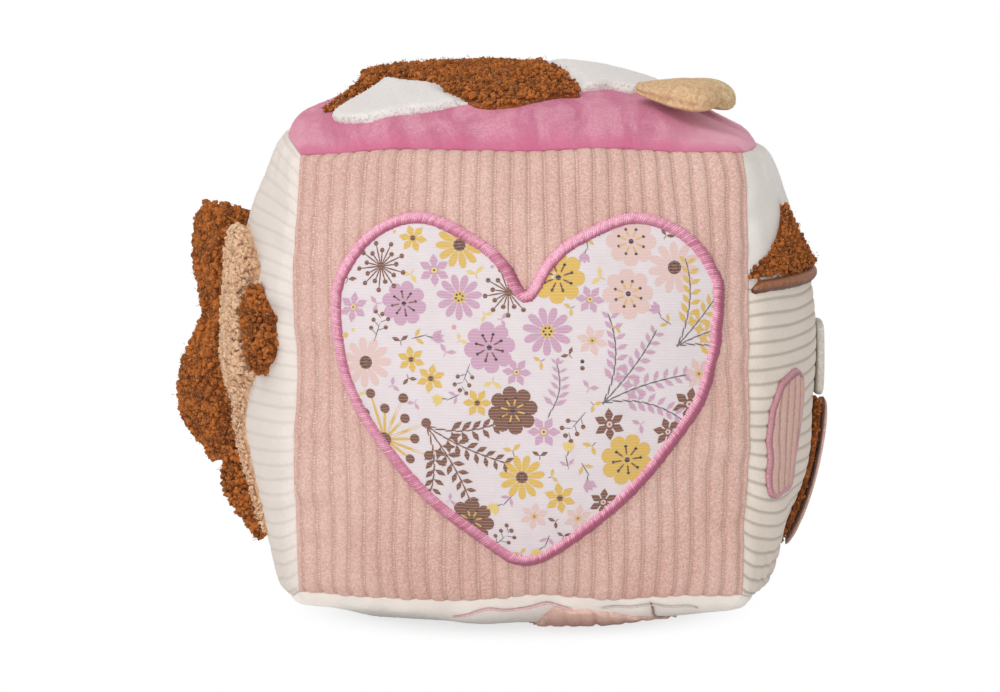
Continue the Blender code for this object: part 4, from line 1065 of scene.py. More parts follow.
def patch_height(x, y, outline, low, rise, rounding, covered=None):
    """Height of a patch whose pile rounds over at its cut edge, which sinks in the cloth.

    The rise is one length, or places up the face and the rise at each. The pile lies flat
    where another patch's outline covers it.
    """
    distance = nearest_on(x, y, outline)[0]
    inner = np.clip(distance / rounding, 0, 1)
    swell = np.sqrt(1 - (1 - inner) ** 2)
    rise = np.interp(y, *rise) if isinstance(rise, tuple) else rise
    if covered is not None:
        swell = swell * np.clip(-nearest_on(x, y, covered)[0] / rounding, 0, 1)
    return low - PATCH_SINK * (1 - inner) ** 4 + rise * swell


def lay_patch(name, face, outline, rise, material, slot, *solid, low=PATCH_LOW,
              rounding=PATCH_ROUNDING, roughness=0.00003, covered=None, seed=41):
    """A cut patch laid on a face; its pile gives it a soft edge and a slightly rough top."""
    mesh, x, y = cut_cloth(name, outline)
    height = patch_height(x, y, outline, low, rise, rounding, covered)
    height = height + np.random.default_rng(seed).normal(0, roughness, len(height))
    lay_mesh(mesh, on_block(face, x, y, height), np.stack((x, y), axis=1) / HALF_EDGE)
    return add_piece(name, mesh, material, "block", slot, *solid, thickness=PATCH_CLOTH_THICKNESS)


def declare_laid(face, outline):
    """Places across and up the middle of a laid patch's bounds, on the rounded face, which nothing
    uses.
    """
    low, high = outline.min(0), outline.max(0)
    middle = (low + high) / 2
    steps = np.linspace(low, high, 40)
    rows = on_block(face, steps[:, 0], middle[1]), on_block(face, middle[0], steps[:, 1])


def curl_shapes():
    """Places of the points of a few kinds of curl, root at the origin, about +Z."""
    mesh, angle, share = tube_grid("curl", CURL_SIDES, CURL_RINGS)
    rng = np.random.default_rng(5)
    kinds = []
    for _ in range(CURL_KINDS):
        turns = rng.uniform(0.9, 1.5)
        start = rng.uniform(0, 2 * math.pi)
        closing = rng.uniform(0.2, 0.6)
        spin = start + 2 * math.pi * turns * share
        radius = CURL_LOOP * (1 - closing * share)
        rise = rng.uniform(0.6, 1.2) * CURL_LOOP
        path = np.stack((radius * np.cos(spin), radius * np.sin(spin),
                         rise * (2 * share - 1)), axis=1)
        outward = np.stack((np.cos(spin), np.sin(spin), np.zeros(len(spin))), axis=1)
        thick = CURL_THREAD * np.sqrt(np.clip(1 - np.abs(2 * share - 1) ** 4, 0, 1))
        thick = thick * (1 + 0.22 * np.sin(spin * 2.7 + start))
        upward = np.array((0.0, 0.0, 1.0))
        kinds.append(path + thick[:, None] * (np.cos(angle)[:, None] * outward
                                              + np.sin(angle)[:, None] * upward))
    return mesh, kinds


def repeat_mesh(name, template, points, tints):
    """One mesh of a template repeated for each array of points, with a tint for each."""
    bm = bmesh.new()
    for _ in points:
        bm.from_mesh(template)
    mesh = mesh_of(bm, name)
    bpy.data.meshes.remove(template)
    lay_mesh(mesh, np.vstack(points))
    keep_value(mesh, "tint", np.repeat(tints, len(points[0])))
    bm = bmesh.new()
    bm.from_mesh(mesh)
    bmesh.ops.remove_doubles(bm, verts=bm.verts[:], dist=WELD_DISTANCE)
    bmesh.ops.recalc_face_normals(bm, faces=bm.faces[:])
    bm.to_mesh(mesh)
    bm.free()
    return mesh


def turned_towards(direction, rng):
    """A random turn about +Z followed by the one that lays +Z along a direction."""
    lean = Vector(direction).normalized().to_track_quat("Z", "Y").to_matrix()
    return np.array((lean @ Matrix.Rotation(rng.uniform(0, 2 * math.pi), 3, "Z")).transposed())


def grow_curls(name, places, normals, material, slot, body, scale=1.0, lift=0.0007, seed=51):
    """Curly pile: many short curls of yarn, each turned and tilted its own way."""
    template, kinds = curl_shapes()
    rng = np.random.default_rng(seed)
    points = []
    for place, normal, size in zip(places, normals, np.broadcast_to(scale, len(places))):
        turn = turned_towards(normal + 0.75 * rng.normal(size=3), rng)
        grown = kinds[rng.integers(CURL_KINDS)] * size * rng.uniform(0.75, 1.3)
        points.append(place + normal * lift * rng.uniform(0.5, 1.6) + grown @ turn)
    mesh = repeat_mesh(name, template, points, rng.uniform(0, 1, len(points)))
    return add_piece(name, mesh, material, body, slot)


def grow_tufts(name, places, normals, length, material, slot, body="block", seed=53):
    """Cut pile: short tapered tufts that lean a little, so that the patch has a soft edge."""
    mesh, angle, share = tube_grid("tuft", 4, 3)
    thick = TUFT_RADIUS * np.sqrt(np.clip(1 - share ** 3, 0, 1)) * np.where(share > 0, 1, 0)
    shape = np.stack((thick * np.cos(angle), thick * np.sin(angle), share * length), axis=1)
    rng = np.random.default_rng(seed)
    points = []
    for place, normal in zip(places, normals):
        turn = turned_towards(normal + 0.35 * rng.normal(size=3), rng)
        points.append(place + (shape * rng.uniform(0.75, 1.2)) @ turn)
    mesh = repeat_mesh(name, mesh, points, rng.uniform(0, 1, len(points)))
    return add_piece(name, mesh, material, body, slot)


def stray_fibres(name, places, normals, material, slot, body="block", scale=1.0, seed=57):
    """Single fibres that have worked loose from the curls and bend over their tops."""
    mesh, angle, share = tube_grid("fibre", 3, 4)
    thick = FIBRE_RADIUS * np.sqrt(np.clip(1 - np.abs(2 * share - 1) ** 6, 0, 1))
    rng = np.random.default_rng(seed)
    points = []
    places = np.repeat(places, FIBRES_PER_CURL, axis=0)
    places = places + rng.normal(0, FIBRE_STRAY, places.shape)
    for place, normal in zip(places, np.repeat(normals, FIBRES_PER_CURL, axis=0)):
        bend = rng.uniform(0.3, 1.1) * FIBRE_LENGTH
        curve = np.stack((bend * share ** 2 + thick * np.cos(angle), thick * np.sin(angle),
                          FIBRE_LENGTH * np.sin(share * 1.9) / 1.2), axis=1)
        turn = turned_towards(normal + 0.5 * rng.normal(size=3), rng)
        points.append(place + (curve * scale * rng.uniform(0.6, 1.15)) @ turn)
    mesh = repeat_mesh(name, mesh, points, rng.uniform(0.3, 1, len(points)))
    return add_piece(name, mesh, material, body, slot)


def pile_points(outline, spacing, seed, margin=0.0):
    """Points scattered evenly inside an outline, on a shaken honeycomb."""
    rng = np.random.default_rng(seed)
    low, high = outline.min(0), outline.max(0)
    columns = np.arange(low[0], high[0] + spacing, spacing)
    rows = np.arange(low[1], high[1] + spacing, spacing * 0.87)
    x, y = (grid.ravel() for grid in np.meshgrid(columns, rows))
    x = x + np.where(np.rint((y - low[1]) / (spacing * 0.87)) % 2 == 1, spacing / 2, 0)
    x = x + rng.uniform(-0.35, 0.35, len(x)) * spacing
    y = y + rng.uniform(-0.35, 0.35, len(x)) * spacing
    keep = nearest_on(x, y, outline)[0] > margin
    return x[keep], y[keep]


def face_normals(face, x, y):
    """Outward directions of a face's cloth at points on it."""
    right = on_block(face, x + FACE_STEP, y) - on_block(face, x - FACE_STEP, y)
    rise = on_block(face, x, y + FACE_STEP) - on_block(face, x, y - FACE_STEP)
    return unit_rows(np.cross(right, rise))


def curly_patch(name, face, outline, rise, material, slot, solid, low=PATCH_LOW,
                spacing=CURL_SPACING, scale=1.0, layers=1, margin=-0.0002,
                seed=61):
    """Fleece cut to an outline: its knitted ground and the curls that grow from it."""
    ground = lay_patch(name, face, outline, rise, material, slot, solid, low=low, seed=seed)
    x, y = pile_points(outline, spacing, seed, margin)
    height = patch_height(x, y, outline, low, rise, PATCH_ROUNDING)
    share = rise[1] / np.max(rise[1]) if isinstance(rise, tuple) else None
    if layers > 1:
        dome = patch_height(x, y, outline, 0.0, 1.0, 0.0025 * (layers - 1))
        dome = dome * (1.0 if share is None else np.interp(y, rise[0], share))
        levels = np.repeat(np.arange(layers), len(x)) * CURL_LAYER * np.tile(dome, layers)
        x, y = np.tile(x, layers), np.tile(y, layers)
        height = np.tile(height, layers) + levels
        needed = (levels > CURL_LAYER / 4) | (np.arange(len(x)) < len(x) // layers)
        x, y, height = x[needed], y[needed], height[needed]
    places, normals = on_block(face, x, y, height), face_normals(face, x, y)
    if share is not None:
        scale = scale * (0.6 + 0.4 * np.interp(y, rise[0], share))
    curls = grow_curls(name + "_curls", places, normals, material, slot, "block", scale=scale,
                       lift=CURL_LIFT, seed=seed + 1)
    fibres = stray_fibres(name + "_fibres", places + normals * CURL_LIFT, normals, material, slot,
                          seed=seed + 2)
    declare_laid(face, outline)


def fleece(name, root, pile, light):
    """Curly polyester fleece: soft and matt, dark between its curls and pale on their tips."""
    material, tree, place = new_finish(name, 0.9, sheen=0.35, sheen_colour=light)
    tint = node(tree, "Attribute", attribute_name="tint").outputs["Fac"]
    fibre = node(tree, "TexNoise", {"Vector": place, "Scale": 1900.0, "Detail": 3.0,
                                    "Roughness": 0.7}).outputs["Fac"]
    clump = node(tree, "TexNoise", {"Vector": place, "Scale": 210.0,
                                    "Detail": 2.0}).outputs["Fac"]
    mixed = node(tree, "Math", {0: tint, 1: 0.4, 2: clump}, operation="MULTIPLY_ADD").outputs[0]
    colour = wash(tree, root, pile, mixed, 0.46, 0.92, smooth=True)
    colour = wash(tree, colour, light, fibre, 0.52, 0.68, 0.7)
    return dressed(material, colour, fibre, 0.8, 0.0005)


brown_fleece = fleece("brown_curly_fleece", "70340D", "B56424", "D49A62")
champagne_fleece = fleece("champagne_curly_fleece", "CE9E76", "E8C09C", "F4E0CA")
white_plush = velour("white_plush", "DAD4D0", "E5E0DC", "C5BFBA", "DAD4D0", "DAD4D0", 0.5)
head_outline = smooth_path(placed(HEAD_SHARES, HEAD_CENTRE, HEAD_SIZE), True, 0.001)
crest_outline = smooth_path(placed(CREST_SHARES, CREST_CENTRE, CREST_SIZE), True, 0.001)
head_patch = lay_patch("head_plush_patch", "top", head_outline, HEAD_RISE, white_plush,
                       "white_plush", "top_head_patch", rounding=0.0022, roughness=0.00005,
                       covered=crest_outline)
pile_x, pile_y = pile_points(head_outline, TUFT_SPACING, 43)
fringe = nearest_on(pile_x, pile_y, head_outline)[0] < FRINGE_WIDTH
fringe &= nearest_on(pile_x, pile_y, crest_outline)[0] < 0
pile_x, pile_y = pile_x[fringe], pile_y[fringe]
pile_low = patch_height(pile_x, pile_y, head_outline, PATCH_LOW, HEAD_RISE, 0.0022, crest_outline)
head_pile = grow_tufts("head_plush_pile", on_block("top", pile_x, pile_y, pile_low - 0.0004),
                       face_normals("top", pile_x, pile_y), 0.0008, white_plush, "white_plush")
declare_laid("top", head_outline)
curly_patch("top_crest", "top", crest_outline, 0.0, brown_fleece, "brown_fleece",
            "top_crest_fleece", low=CREST_BASE,
            spacing=0.00135, scale=0.95, margin=0.0006, seed=62)


def strip_outline(knots, width):
    """The closed outline of a strip of one width along a curve, with rounded ends."""
    path = smooth_path(knots, False, 0.001)
    run = unit_rows(np.gradient(path, axis=0))
    side = np.stack((-run[:, 1], run[:, 0]), axis=1) * width / 2
    turn = np.linspace(0, math.pi, 8)[1:-1, None]
    reach = STRIP_END_SHARE * width * np.sin(turn)
    end = path[-1] + side[-1] * np.cos(turn) + run[-1] * reach
    start = path[0] - side[0] * np.cos(turn) - run[0] * reach
    return np.vstack((path + side, end, (path - side)[::-1], start))


top_mane_outline = strip_outline(placed(TOP_MANE_SHARES, TOP_MANE_CENTRE, TOP_MANE_SIZE),
                                 TOP_MANE_WIDTH)
curly_patch("top_mane", "top", top_mane_outline, TOP_MANE_RISE, brown_fleece, "brown_fleece",
            "top_mane_strip", spacing=0.0013, scale=0.95, seed=64)
tuft_root = on_block("top", np.full(5, LOOSE_TUFT_ACROSS), LOOSE_TUFT_UP, 0.0015)
stray_fibres("top_mane_loose_tuft", tuft_root, np.tile((-0.1, 0.0, 1.0), (5, 1)), brown_fleece,
             "brown_fleece", scale=2.6, seed=65)

# Ears on top: two leaves of tan short-pile plush, each two layers sewn round their rim,
# turned and lightly stuffed. A gathered root is sewn into the patch, so they can be lifted.
EAR_THICKNESS = 0.0074
EAR_ROOT_THICKNESS = 0.0022
EAR_UPPER_SHARE = 0.66
EAR_ROOT_HEIGHT = 0.0028
EAR_WIDTH_SHARES = ((0.0, 0.38), (0.2, 0.64), (0.5, 0.93), (0.8, 1.0), (0.93, 0.88), (1.0, 0.5))
EAR_SEAM_DEPTH = 0.0008

# Each ear: its root on the top face, its turn to the front, its droop, length and half width
EARS = {
    "top_ear_front": ((0.0262, -0.031), math.radians(22), math.radians(-6), 0.0218, 0.0085),
    "top_ear_back": ((0.0329, -0.0197), math.radians(3), math.radians(-3), 0.0182, 0.0078),
}


def plush(name, pile, brushed, deep):
    """Tan cut plush about 2 mm deep: soft, matt, with darker partings in its pile."""
    material, tree, place = new_finish(name, 0.9, sheen=0.45, sheen_colour=brushed)
    parting = node(tree, "TexNoise", {"Vector": place, "Scale": 620.0, "Detail": 3.0,
                                      "Distortion": 0.8}).outputs["Fac"]
    fibre = node(tree, "TexNoise", {"Vector": place, "Scale": 1700.0,
                                    "Detail": 2.0}).outputs["Fac"]
    colour = wash(tree, pile, brushed, parting, 0.38, 0.6, smooth=True)
    colour = wash(tree, colour, deep, fibre, 0.55, 0.38, 0.45)
    relief = node(tree, "Math", {0: parting, 1: fibre}, operation="ADD").outputs[0]
    return dressed(material, colour, relief, 0.4, 0.0004)


def stuffed_form(name, around, along, place):
    """A closed form of rings: place(angle, share along) gives its points."""
    mesh, angle, share = tube_grid(name, around, along)
    lay_mesh(mesh, place(angle, share))
    finish_closed(mesh)
    return mesh


def make_ear(name, root, angle, droop, length, half_width, material):
    """One stuffed ear on top, turned and drooping from its sewn root."""
    hinge = on_block("top", root[0], root[1], EAR_ROOT_HEIGHT, soft=False)[0]
    around = np.array((-FACE_STEP, FACE_STEP))
    run = np.diff(on_block("top", root[0] + around, root[1], soft=False), axis=0)
    rise = np.diff(on_block("top", root[0], root[1] + around, soft=False), axis=0)
    normal = Vector(np.cross(run[0], rise[0])).normalized()
    along = Vector((math.cos(angle), -math.sin(angle), 0))
    along = (along - normal * along.dot(normal)).normalized()
    across = normal.cross(along)
    along = along * math.cos(droop) - normal * math.sin(droop)
    axes = np.array((along, across, along.cross(across)))

    def place(angle, share):
        width = half_width * share_at(EAR_WIDTH_SHARES, share)
        width = width * np.sqrt(np.clip(1 - ((share - 0.5) * 2) ** 8, 0, 1))
        swell = EAR_ROOT_THICKNESS + (EAR_THICKNESS - EAR_ROOT_THICKNESS) * np.sin(
            math.pi / 2 * np.minimum(1, share + share ** 2 / 2))
        swell = swell * np.sqrt(np.clip(1 - share ** 7, 0, 1)) * np.where(share > 0, 1, 0)
        thick = np.where(np.sin(angle) > 0, EAR_UPPER_SHARE, 1 - EAR_UPPER_SHARE) * swell
        aside = np.sign(np.cos(angle)) * np.abs(np.cos(angle)) ** 0.8
        tall = np.abs(np.sin(angle)) ** 0.8 * np.sign(np.sin(angle))
        seam = EAR_SEAM_DEPTH * np.exp(-(np.sin(angle) / 0.16) ** 2)
        local = np.stack((share * length * 1.03, aside * (width - seam), tall * thick), 1)
        return hinge + local @ axes

    mesh = stuffed_form(name + "_plush", 56, 60, place)
    ear = add_piece(name + "_plush", mesh, material, name, "tan_plush", name + "_upper",
                    name + "_lower")


tan_plush = plush("tan_ear_plush", "C29B73", "D2B48F", "AA8763")
# The back ear gets a greyer, darker copy of the tan plush: painted shade.
shaded_plush = plush("shaded_tan_ear_plush", "BFA278", "D2BC96", "957A52")
make_ear("top_ear_front", *EARS["top_ear_front"], tan_plush)
make_ear("top_ear_back", *EARS["top_ear_back"], shaded_plush)

# Left patches: curly fleece cut to a long curved shape in champagne, a brown patch on its
# front edge and a brown tail strip that runs down from the lower mane lobe.
TAN_CENTRE = (0.027, -0.00425)
TAN_SIZE = (0.031, 0.0715)
TAN_SHARES = (
    (-0.903, 0.93), (-0.452, 1.0), (0.05, 0.95), (0.5, 0.86), (0.86, 0.776), (0.74, 0.65),
    (0.594, 0.552), (0.542, 0.427), (0.606, 0.287), (0.7, 0.152), (0.72, 0.069),
    (0.42, -0.063), (0.15, -0.287), (0.28, -0.497), (0.36, -0.664), (0.44, -0.804),
    (0.56, -1.0), (0.22, -0.944), (-0.12, -0.748), (-0.387, -0.497), (-0.71, -0.217),
    (-0.968, 0.063), (-1.0, 0.455), (-1.0, 0.734),
)
MUZZLE_CENTRE = (0.0444, 0.01035)
MUZZLE_SIZE = (0.0156, 0.0225)
MUZZLE_SHARES = (
    (0.0, 0.85), (0.28, 0.62), (0.7, 0.35), (0.87, 0.05), (0.82, -0.2),
    (0.705, -0.618), (0.205, -0.893), (-0.192, -1.0), (-0.577, -0.751), (-0.872, -0.351),
    (-1.0, 0.058), (-0.91, 0.413), (-0.436, 0.733),
)
TAN_RISE = ((-0.011, -0.001), (0.0001, 0.0014))
TAIL_CENTRE = (0.0155, -0.0312)
TAIL_SIZE = (0.0165, 0.0166)
TAIL_WIDTH = 0.0075
TAIL_RISE = ((-0.04, -0.031, -0.0265, -0.0235), (0.0006, 0.0014, 0.0013, 0.0009))
TAIL_SHARES = ((-1.0, 1.0), (-0.8, 0.4), (-0.35, -0.2), (0.35, -0.7), (1.0, -1.0))
tan_outline = smooth_path(placed(TAN_SHARES, TAN_CENTRE, TAN_SIZE), True, 0.001)
muzzle_outline = smooth_path(placed(MUZZLE_SHARES, MUZZLE_CENTRE, MUZZLE_SIZE), True, 0.001)
tail_outline = strip_outline(placed(TAIL_SHARES, TAIL_CENTRE, TAIL_SIZE), TAIL_WIDTH)
curly_patch("left_tan_fleece", "left", tan_outline, TAN_RISE, champagne_fleece,
            "champagne_fleece", "left_tan_patch", layers=2, scale=1.05,
            seed=66)
curly_patch("left_brown_fleece", "left", muzzle_outline, 0.0008, brown_fleece,
            "brown_fleece", "left_brown_patch", layers=2, seed=68)
curly_patch("left_tail_fleece", "left", tail_outline, TAIL_RISE, brown_fleece,
            "brown_fleece", "left_mane_tail", layers=4, scale=1.05,
            seed=70)

# Mane lobes: two flaps of curly fleece backed with tan velour, sewn to the left face along
# their straight roots, so that they stand off it and can be folded either way.
MANE_ROOT_ACROSS = 0.0056
MANE_ROOT_LIFT = 0.0017
MANE_ROOT_SAG = 0.0011
MANE_REST_ANGLE = math.radians(40)
MANE_FLEECE_THICKNESS = 0.0044
MANE_BACKING_THICKNESS = 0.0018
MANE_FLARE = 0.0015
MANE_ROOT_REACH = 0.35
MANE_LOBES = {
    "left_mane_upper": (0.0106, 0.0345, 0.0215, (-0.045, 0.985), 0.08,
                        ((0.0, 0.56), (0.2, 0.72), (0.45, 0.98), (0.8, 0.99), (1.0, 0.75))),
    "left_mane_lower": (-0.0245, 0.007, 0.026, (0.02, 1.03), 0.0,
                        ((0.0, 0.45), (0.1, 0.52), (0.2, 0.8), (0.35, 1.0), (0.5, 1.0),
                         (0.67, 0.92), (0.82, 0.7), (1.0, 0.46))),
}


def make_mane_lobe(name, root_from, root_to, length, curled, rounding, outline_shares, seed):
    """One lobe: its backing, the pile on it, and curls and stray fibres over its front."""
    low, high = (Vector(on_block("left", MANE_ROOT_ACROSS, up, MANE_ROOT_LIFT, soft=False)[0])
                 for up in (root_from, root_to))
    up = (high - low).normalized()
    outward = Vector((-math.sin(MANE_REST_ANGLE), math.cos(MANE_REST_ANGLE), 0))
    outward = (outward - up * outward.dot(up)).normalized()
    axes = np.array((up, outward, up.cross(outward)))
    middle = np.array((low + high) / 2)
    root_length = (high - low).length

    def lobe(along, out, height):
        """Place of a point: along the root and out from it as shares, and above the cloth."""
        along = along - rounding * np.clip(along, 0, 1) ** 6 * out
        centred = 2 * along - 1
        sag = -MANE_ROOT_SAG * centred ** 2
        reach = length * share_at(outline_shares, along)
        flared = centred * (root_length / 2 + MANE_FLARE * np.sin(math.pi / 2 * out))
        local = np.stack((flared, sag + out * (reach - sag), height), axis=1)
        return middle + local @ axes

    def slab(thickness, side):
        def place(angle, share):
            rounded = 0.5 + 0.5 * np.cos(angle)
            ends = np.sqrt(np.clip(1 - (2 * share - 1) ** 6, 0, 1))
            swell = np.abs(np.sin(angle)) ** 0.6 * np.where(np.sin(angle) > 0, 1.0, 0.0)
            swell = swell * np.clip(rounded / MANE_ROOT_REACH, 0.3, 1)
            return lobe(share, rounded, side * (0.0002 + thickness * swell * ends))
        return place

    pile = stuffed_form(name + "_pile", 48, 40, slab(MANE_FLEECE_THICKNESS * 0.6, 1))
    pile_piece = add_piece(name + "_pile", pile, brown_fleece, name, "brown_fleece",
                           name + "_fleece")
    backing = stuffed_form(name + "_cloth", 48, 40, slab(MANE_BACKING_THICKNESS, -1))
    backing_piece = add_piece(name + "_cloth", backing, tan_backing, name, "tan_velour",
                              name + "_backing")
    rng = np.random.default_rng(seed)
    count = round(root_length * length / CURL_SPACING ** 2 * 1.5)
    along = rng.uniform(*curled, count)
    out = rng.uniform(0.0, 1.0, count) ** 0.85
    rim = np.maximum(np.abs(2 * along - 1), out)
    grown = np.clip(out / MANE_ROOT_REACH, 0.1, 1)
    height = MANE_FLEECE_THICKNESS * 0.55 * np.sqrt(np.clip(1 - rim ** 5, 0, 1)) * grown
    lean = unit_rows(np.stack((0.8 * (2 * along - 1) ** 3, 0.8 * out ** 4, np.ones(count)),
                              axis=1))
    places = lobe(along, out * 0.97, height)
    curls = grow_curls(name + "_curls", places, lean @ axes, brown_fleece, "brown_fleece", name,
                       scale=0.5 + 0.56 * grown, lift=0.0006, seed=seed + 1)
    fibres = stray_fibres(name + "_fibres", places + lean @ axes * CURL_LIFT, lean @ axes,
                          brown_fleece, "brown_fleece", name, seed=seed + 2)


tan_backing = plush("tan_velour_backing", "C79A6B", "D6AF84", "A37A4E")
for lobe_number, (lobe_name, lobe_sizes) in enumerate(MANE_LOBES.items()):
    make_mane_lobe(lobe_name, *lobe_sizes, seed=81 + 5 * lobe_number)

# Right patches: a pointed patch of brown fleece on the white velour, and a brown satin
# stitched line over the seam between velour and corduroy, which holds the patch's edge.
SPOT_CENTRE = (-0.0313, 0.0325)
SPOT_SIZE = (0.0486, 0.0168)
SPOT_SHARES = (
    (-1.05, -0.95), (-0.95, -0.6), (-0.69, -0.15), (-0.43, 0.4), (-0.17, 1.0), (0.02, 0.49),
    (0.28, -0.18), (0.63, -0.56), (1.0, -0.85), (0.98, -1.0), (0.46, -1.0), (0.0, -1.0),
    (-0.52, -1.0), (-0.95, -1.0),
)
RIGHT_SATIN_HALF_LENGTH = 0.056
spot_outline = smooth_path(placed(SPOT_SHARES, SPOT_CENTRE, SPOT_SIZE), True, 0.001)
curly_patch("right_spot", "right", spot_outline, 0.0008, brown_fleece, "brown_fleece",
            "right_fleece_patch", spacing=0.0012,
            scale=0.8, seed=72)
brown_satin = satin_thread("brown_satin_thread", "7E4524", "4E2813", "A5683F")
right_line = smooth_path([(along * RIGHT_SATIN_HALF_LENGTH, RIGHT_SPLIT_HEIGHT)
                          for along in (-1.0, 0.0, 1.0)], False)
satin_ribbon("right_seam_stitch", "right", right_line, False, SATIN_WIDTH, STITCH_LOW,
             SATIN_RISE, brown_satin, "brown_satin", "right_satin_line", seed=33)

# Arch: a patch of pink corduroy with upright ribs, edged with a narrow satin stitch.
ARCH_CENTRE = (-0.04185, -0.0151)
ARCH_SIZE = (0.0173, 0.028)
ARCH_SHARES = (
    (0.41, 1.0), (-0.249, 0.886), (-0.584, 0.764), (-0.838, 0.393), (-1.0, -0.136),
    (-0.988, -0.714), (-0.85, -1.0), (-0.133, -0.95), (0.699, -0.857), (0.769, -0.35),
    (0.873, 0.221), (1.0, 0.721), (0.838, 0.921),
)
ARCH_RISE = 0.0007
NARROW_SATIN_WIDTH = 0.0022
NARROW_SATIN_RISE = 0.0011
SMALL_WALE_PITCH = 0.0036
SMALL_WALE_RISE = 0.0006
arch_outline = smooth_path(placed(ARCH_SHARES, ARCH_CENTRE, ARCH_SIZE), True, 0.0006)


def wale_crests(phase):
    """How high small wales stand, from 0 in a furrow to 1 on a rib."""
    return 1 - np.abs(2 * (phase - np.floor(phase)) - 1) ** 5


def corduroy_patch(name, face, outline, low, rise, material, solid, pitch=0.0006):
    """A flat patch of corduroy whose ribs run up the face."""
    mesh, x, y = cut_cloth(name, outline, pitch)
    phase = x / SMALL_WALE_PITCH
    height = (patch_height(x, y, outline, low, rise, 0.0006)
              + SMALL_WALE_RISE * (wale_crests(phase) - 1))
    lay_mesh(mesh, on_block(face, x, y, height), np.stack((phase, y / GROUND_STITCH), axis=1))
    return add_piece(name, mesh, material, "block", "pink_corduroy", solid,
                     thickness=PATCH_CLOTH_THICKNESS)


dusky_corduroy = corduroy("dusky_pink_corduroy", "CCA499", "DCBFB4", "A47B70", "EAD8CE", 0.6,
                          0.8, 0.6)
arch_cloth = corduroy_patch("arch_cloth", "right", arch_outline, PATCH_LOW + 0.0003, ARCH_RISE,
                            dusky_corduroy, "right_arch_patch")
rose_satin = satin_thread("rose_satin_thread", "B67A83", "96616B", "C48F98")
arch_stitch = satin_ribbon("arch_border", "right", arch_outline, True, NARROW_SATIN_WIDTH,
                           STITCH_LOW, NARROW_SATIN_RISE, rose_satin, "rose_satin",
                           "right_arch_satin_edge", seed=35)
declare_laid("right", arch_outline)

# Side ear: a flap that hangs down the right face from a root band of cream velour. It has
# brown fleece on the inside and pink corduroy outside, sewn together round the rim.
SIDE_EAR_TOP = 0.0085
SIDE_EAR_SPLIT = -0.0105
SIDE_EAR_TIP = -0.046
SIDE_EAR_ACROSS = 0.008
SIDE_EAR_HALF_WIDTH = 0.013
SIDE_EAR_ROOT_THICKNESS = 0.0026
SIDE_EAR_FLEECE_THICKNESS = 0.0023
SIDE_EAR_LINING_THICKNESS = 0.0012
SIDE_EAR_LOW = 0.0004
SIDE_EAR_ROOT_SHARES = ((0.0, 0.5), (0.5, 0.6), (1.0, 0.72))
SIDE_EAR_SHARES = ((0.0, 0.74), (0.25, 0.96), (0.5, 1.0), (0.75, 0.82), (0.92, 0.5), (1.0, 0.26))


def hanging_form(name, up_from, up_to, outline_shares, low, thickness, ribbed=False):
    """A layer of the side ear: a closed slab that hangs close to the right face."""
    mesh, angle, share = tube_grid(name, 72, 60)
    aside = np.sign(np.cos(angle)) * np.abs(np.cos(angle)) ** 0.7
    width = SIDE_EAR_HALF_WIDTH * share_at(outline_shares, share)
    ends = np.sqrt(np.clip(1 - (2 * share - 1) ** 10, 0, 1))
    out = 0.5 + 0.5 * np.sign(np.sin(angle)) * np.abs(np.sin(angle)) ** 0.5
    across = SIDE_EAR_ACROSS + aside * width * ends
    up = up_from + (up_to - up_from) * share
    phase = across / SMALL_WALE_PITCH
    ribs = SMALL_WALE_RISE * (wale_crests(phase) - 1) * np.where(np.sin(angle) > 0.3, 1, 0)
    ribs = ribs if ribbed else 0
    height = low + thickness * (0.5 + (out - 0.5) * ends) + ribs
    place = on_block("right", across, up, height, soft=False)
    lay_mesh(mesh, place, np.stack((phase, up / GROUND_STITCH), axis=1))
    finish_closed(mesh)
    return mesh


side_root = add_piece("side_ear_band", hanging_form(
    "side_ear_band", SIDE_EAR_TOP, SIDE_EAR_SPLIT, SIDE_EAR_ROOT_SHARES, SIDE_EAR_LOW,
    SIDE_EAR_ROOT_THICKNESS), plush("cream_band_velour", "CFC8BE", "DDD7CE", "B5ADA2"),
    "side_ear", "cream_velour", "side_ear_root")
side_hem = SIDE_EAR_SPLIT - 0.0004
side_pile = add_piece("side_ear_pile", hanging_form(
    "side_ear_pile", side_hem, SIDE_EAR_TIP, SIDE_EAR_SHARES, SIDE_EAR_LOW,
    SIDE_EAR_FLEECE_THICKNESS), brown_fleece, "side_ear", "brown_fleece", "side_ear_fleece")
side_outer = add_piece("side_ear_corduroy", hanging_form(
    "side_ear_corduroy", side_hem, SIDE_EAR_TIP, SIDE_EAR_SHARES,
    SIDE_EAR_LOW + SIDE_EAR_FLEECE_THICKNESS + 0.0004, SIDE_EAR_LINING_THICKNESS, True),
    salmon_corduroy, "side_ear", "pink_corduroy", "side_ear_lining")


def make_side_curls():
    """Curls round the rim of the side ear's fleece, where it shows past the corduroy."""
    rng = np.random.default_rng(91)
    count = 520
    share = rng.uniform(0.0, 1.0, count)
    side = rng.choice((-1.0, 1.0), count) * rng.uniform(0.55, 1.0, count)
    width = SIDE_EAR_HALF_WIDTH * share_at(SIDE_EAR_SHARES, share)
    across = SIDE_EAR_ACROSS + side * width
    up = side_hem + (SIDE_EAR_TIP - side_hem) * share
    height = SIDE_EAR_LOW + SIDE_EAR_FLEECE_THICKNESS * rng.uniform(0.1, 0.75, count)
    place = on_block("right", across, up, height, soft=False)
    lean = place - on_block("right", across * 0 + SIDE_EAR_ACROSS, up, height, soft=False)
    grow_curls("side_ear_curls", place, unit_rows(lean), brown_fleece, "brown_fleece",
               "side_ear", scale=0.62, lift=0.0003, seed=92)


make_side_curls()

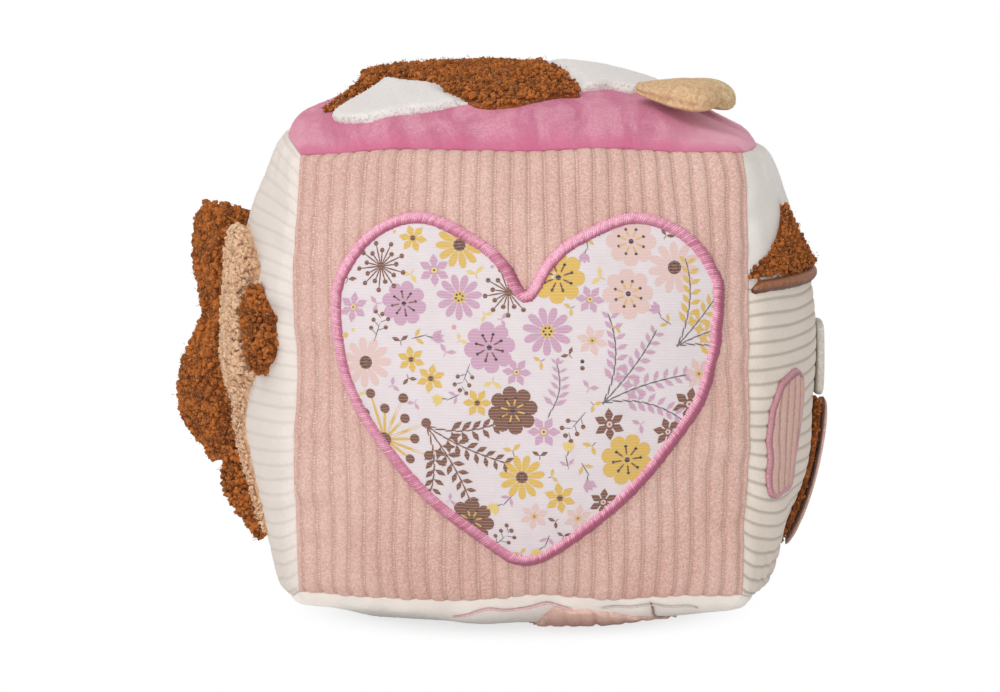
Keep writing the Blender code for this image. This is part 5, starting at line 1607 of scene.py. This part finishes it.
# Bottom: the patch of pink corduroy that the block rests on, and a wavy line of thread
# stitched across the front roll.
BASE_PATCH_CENTRE = (0.012, 0.00525)
BASE_PATCH_SIZE = (0.052, 0.0925)
BASE_PATCH_SHARES = (
    (-0.06, 1.02), (0.14, 1.0), (0.312, 0.968), (0.496, 0.896), (0.827, 0.723), (0.98, 0.5),
    (1.0, 0.16), (0.962, -0.222), (0.769, -0.632), (0.385, -0.914), (-0.154, -1.0),
    (-0.692, -0.892), (-0.962, -0.589), (-0.9, -0.2), (-0.6, 0.2), (-0.35, 0.6),
    (-0.22, 0.85), (-0.15, 0.97),
)
BASE_PATCH_RISE = 0.0006
BASE_MARK = ((0.033, 0.0553), (0.0325, 0.050), (0.0322, 0.045), (0.0328, 0.040), (0.0345, 0.036))
BASE_MARK_WIDTH = 0.0006
BASE_LINE_CENTRE = (0.0135, 0.05055)
BASE_LINE_SIZE = (0.0596, 0.0081)
BASE_LINE_SHARES = (
    (-1.0, -1.0), (-0.883, 0.235), (-0.685, 0.679), (-0.48, 0.16), (-0.258, 0.679),
    (-0.017, 0.605), (0.215, 0.704), (0.544, 1.0), (0.943, 0.358), (1.0, -0.235),
)
STITCH_WIDTH = 0.0008
STITCH_RISE = 0.0004
ROSE_KNOTS = 6
base_outline = smooth_path(placed(BASE_PATCH_SHARES, BASE_PATCH_CENTRE, BASE_PATCH_SIZE), True,
                           0.001)
# A lighter copy of the salmon corduroy for the base patch: painted light, as if lit from the white
# floor below.
base_lit_corduroy = corduroy("base_pink_corduroy", "E8C0B3", "F4DACE", "D0A294", "F8E6DA", 0.6, 0.4)
base_cloth = corduroy_patch("base_cloth", "bottom", base_outline, 0.0004, BASE_PATCH_RISE,
                            base_lit_corduroy, "base_patch", pitch=0.001)
declare_laid("bottom", base_outline)
base_knots = placed(BASE_LINE_SHARES, BASE_LINE_CENTRE, BASE_LINE_SIZE)
base_line = smooth_path(base_knots[:ROSE_KNOTS], False)
rose_thread = satin_thread("rose_stitch_thread", "CF9FA0", "A8757A", "DDB5B6")
grey_thread = satin_thread("grey_stitch_thread", "BDB4AE", "9A918B", "CDC5BF")
satin_ribbon("base_stitching", "bottom", base_line, False, STITCH_WIDTH, 0.0003, STITCH_RISE,
             rose_thread, "stitch_thread", "base_stitch_line", seed=37)
satin_ribbon("base_grey_stitch", "bottom", smooth_path(base_knots[ROSE_KNOTS:], False), False,
             BASE_MARK_WIDTH, 0.0003, BASE_MARK_WIDTH / 2, grey_thread, "stitch_thread", seed=38)
satin_ribbon("base_brown_stitch", "bottom", smooth_path(BASE_MARK, False), False,
             BASE_MARK_WIDTH, 0.0003, BASE_MARK_WIDTH / 2, brown_satin, "brown_satin", seed=39)

bpy.context.view_layer.update()
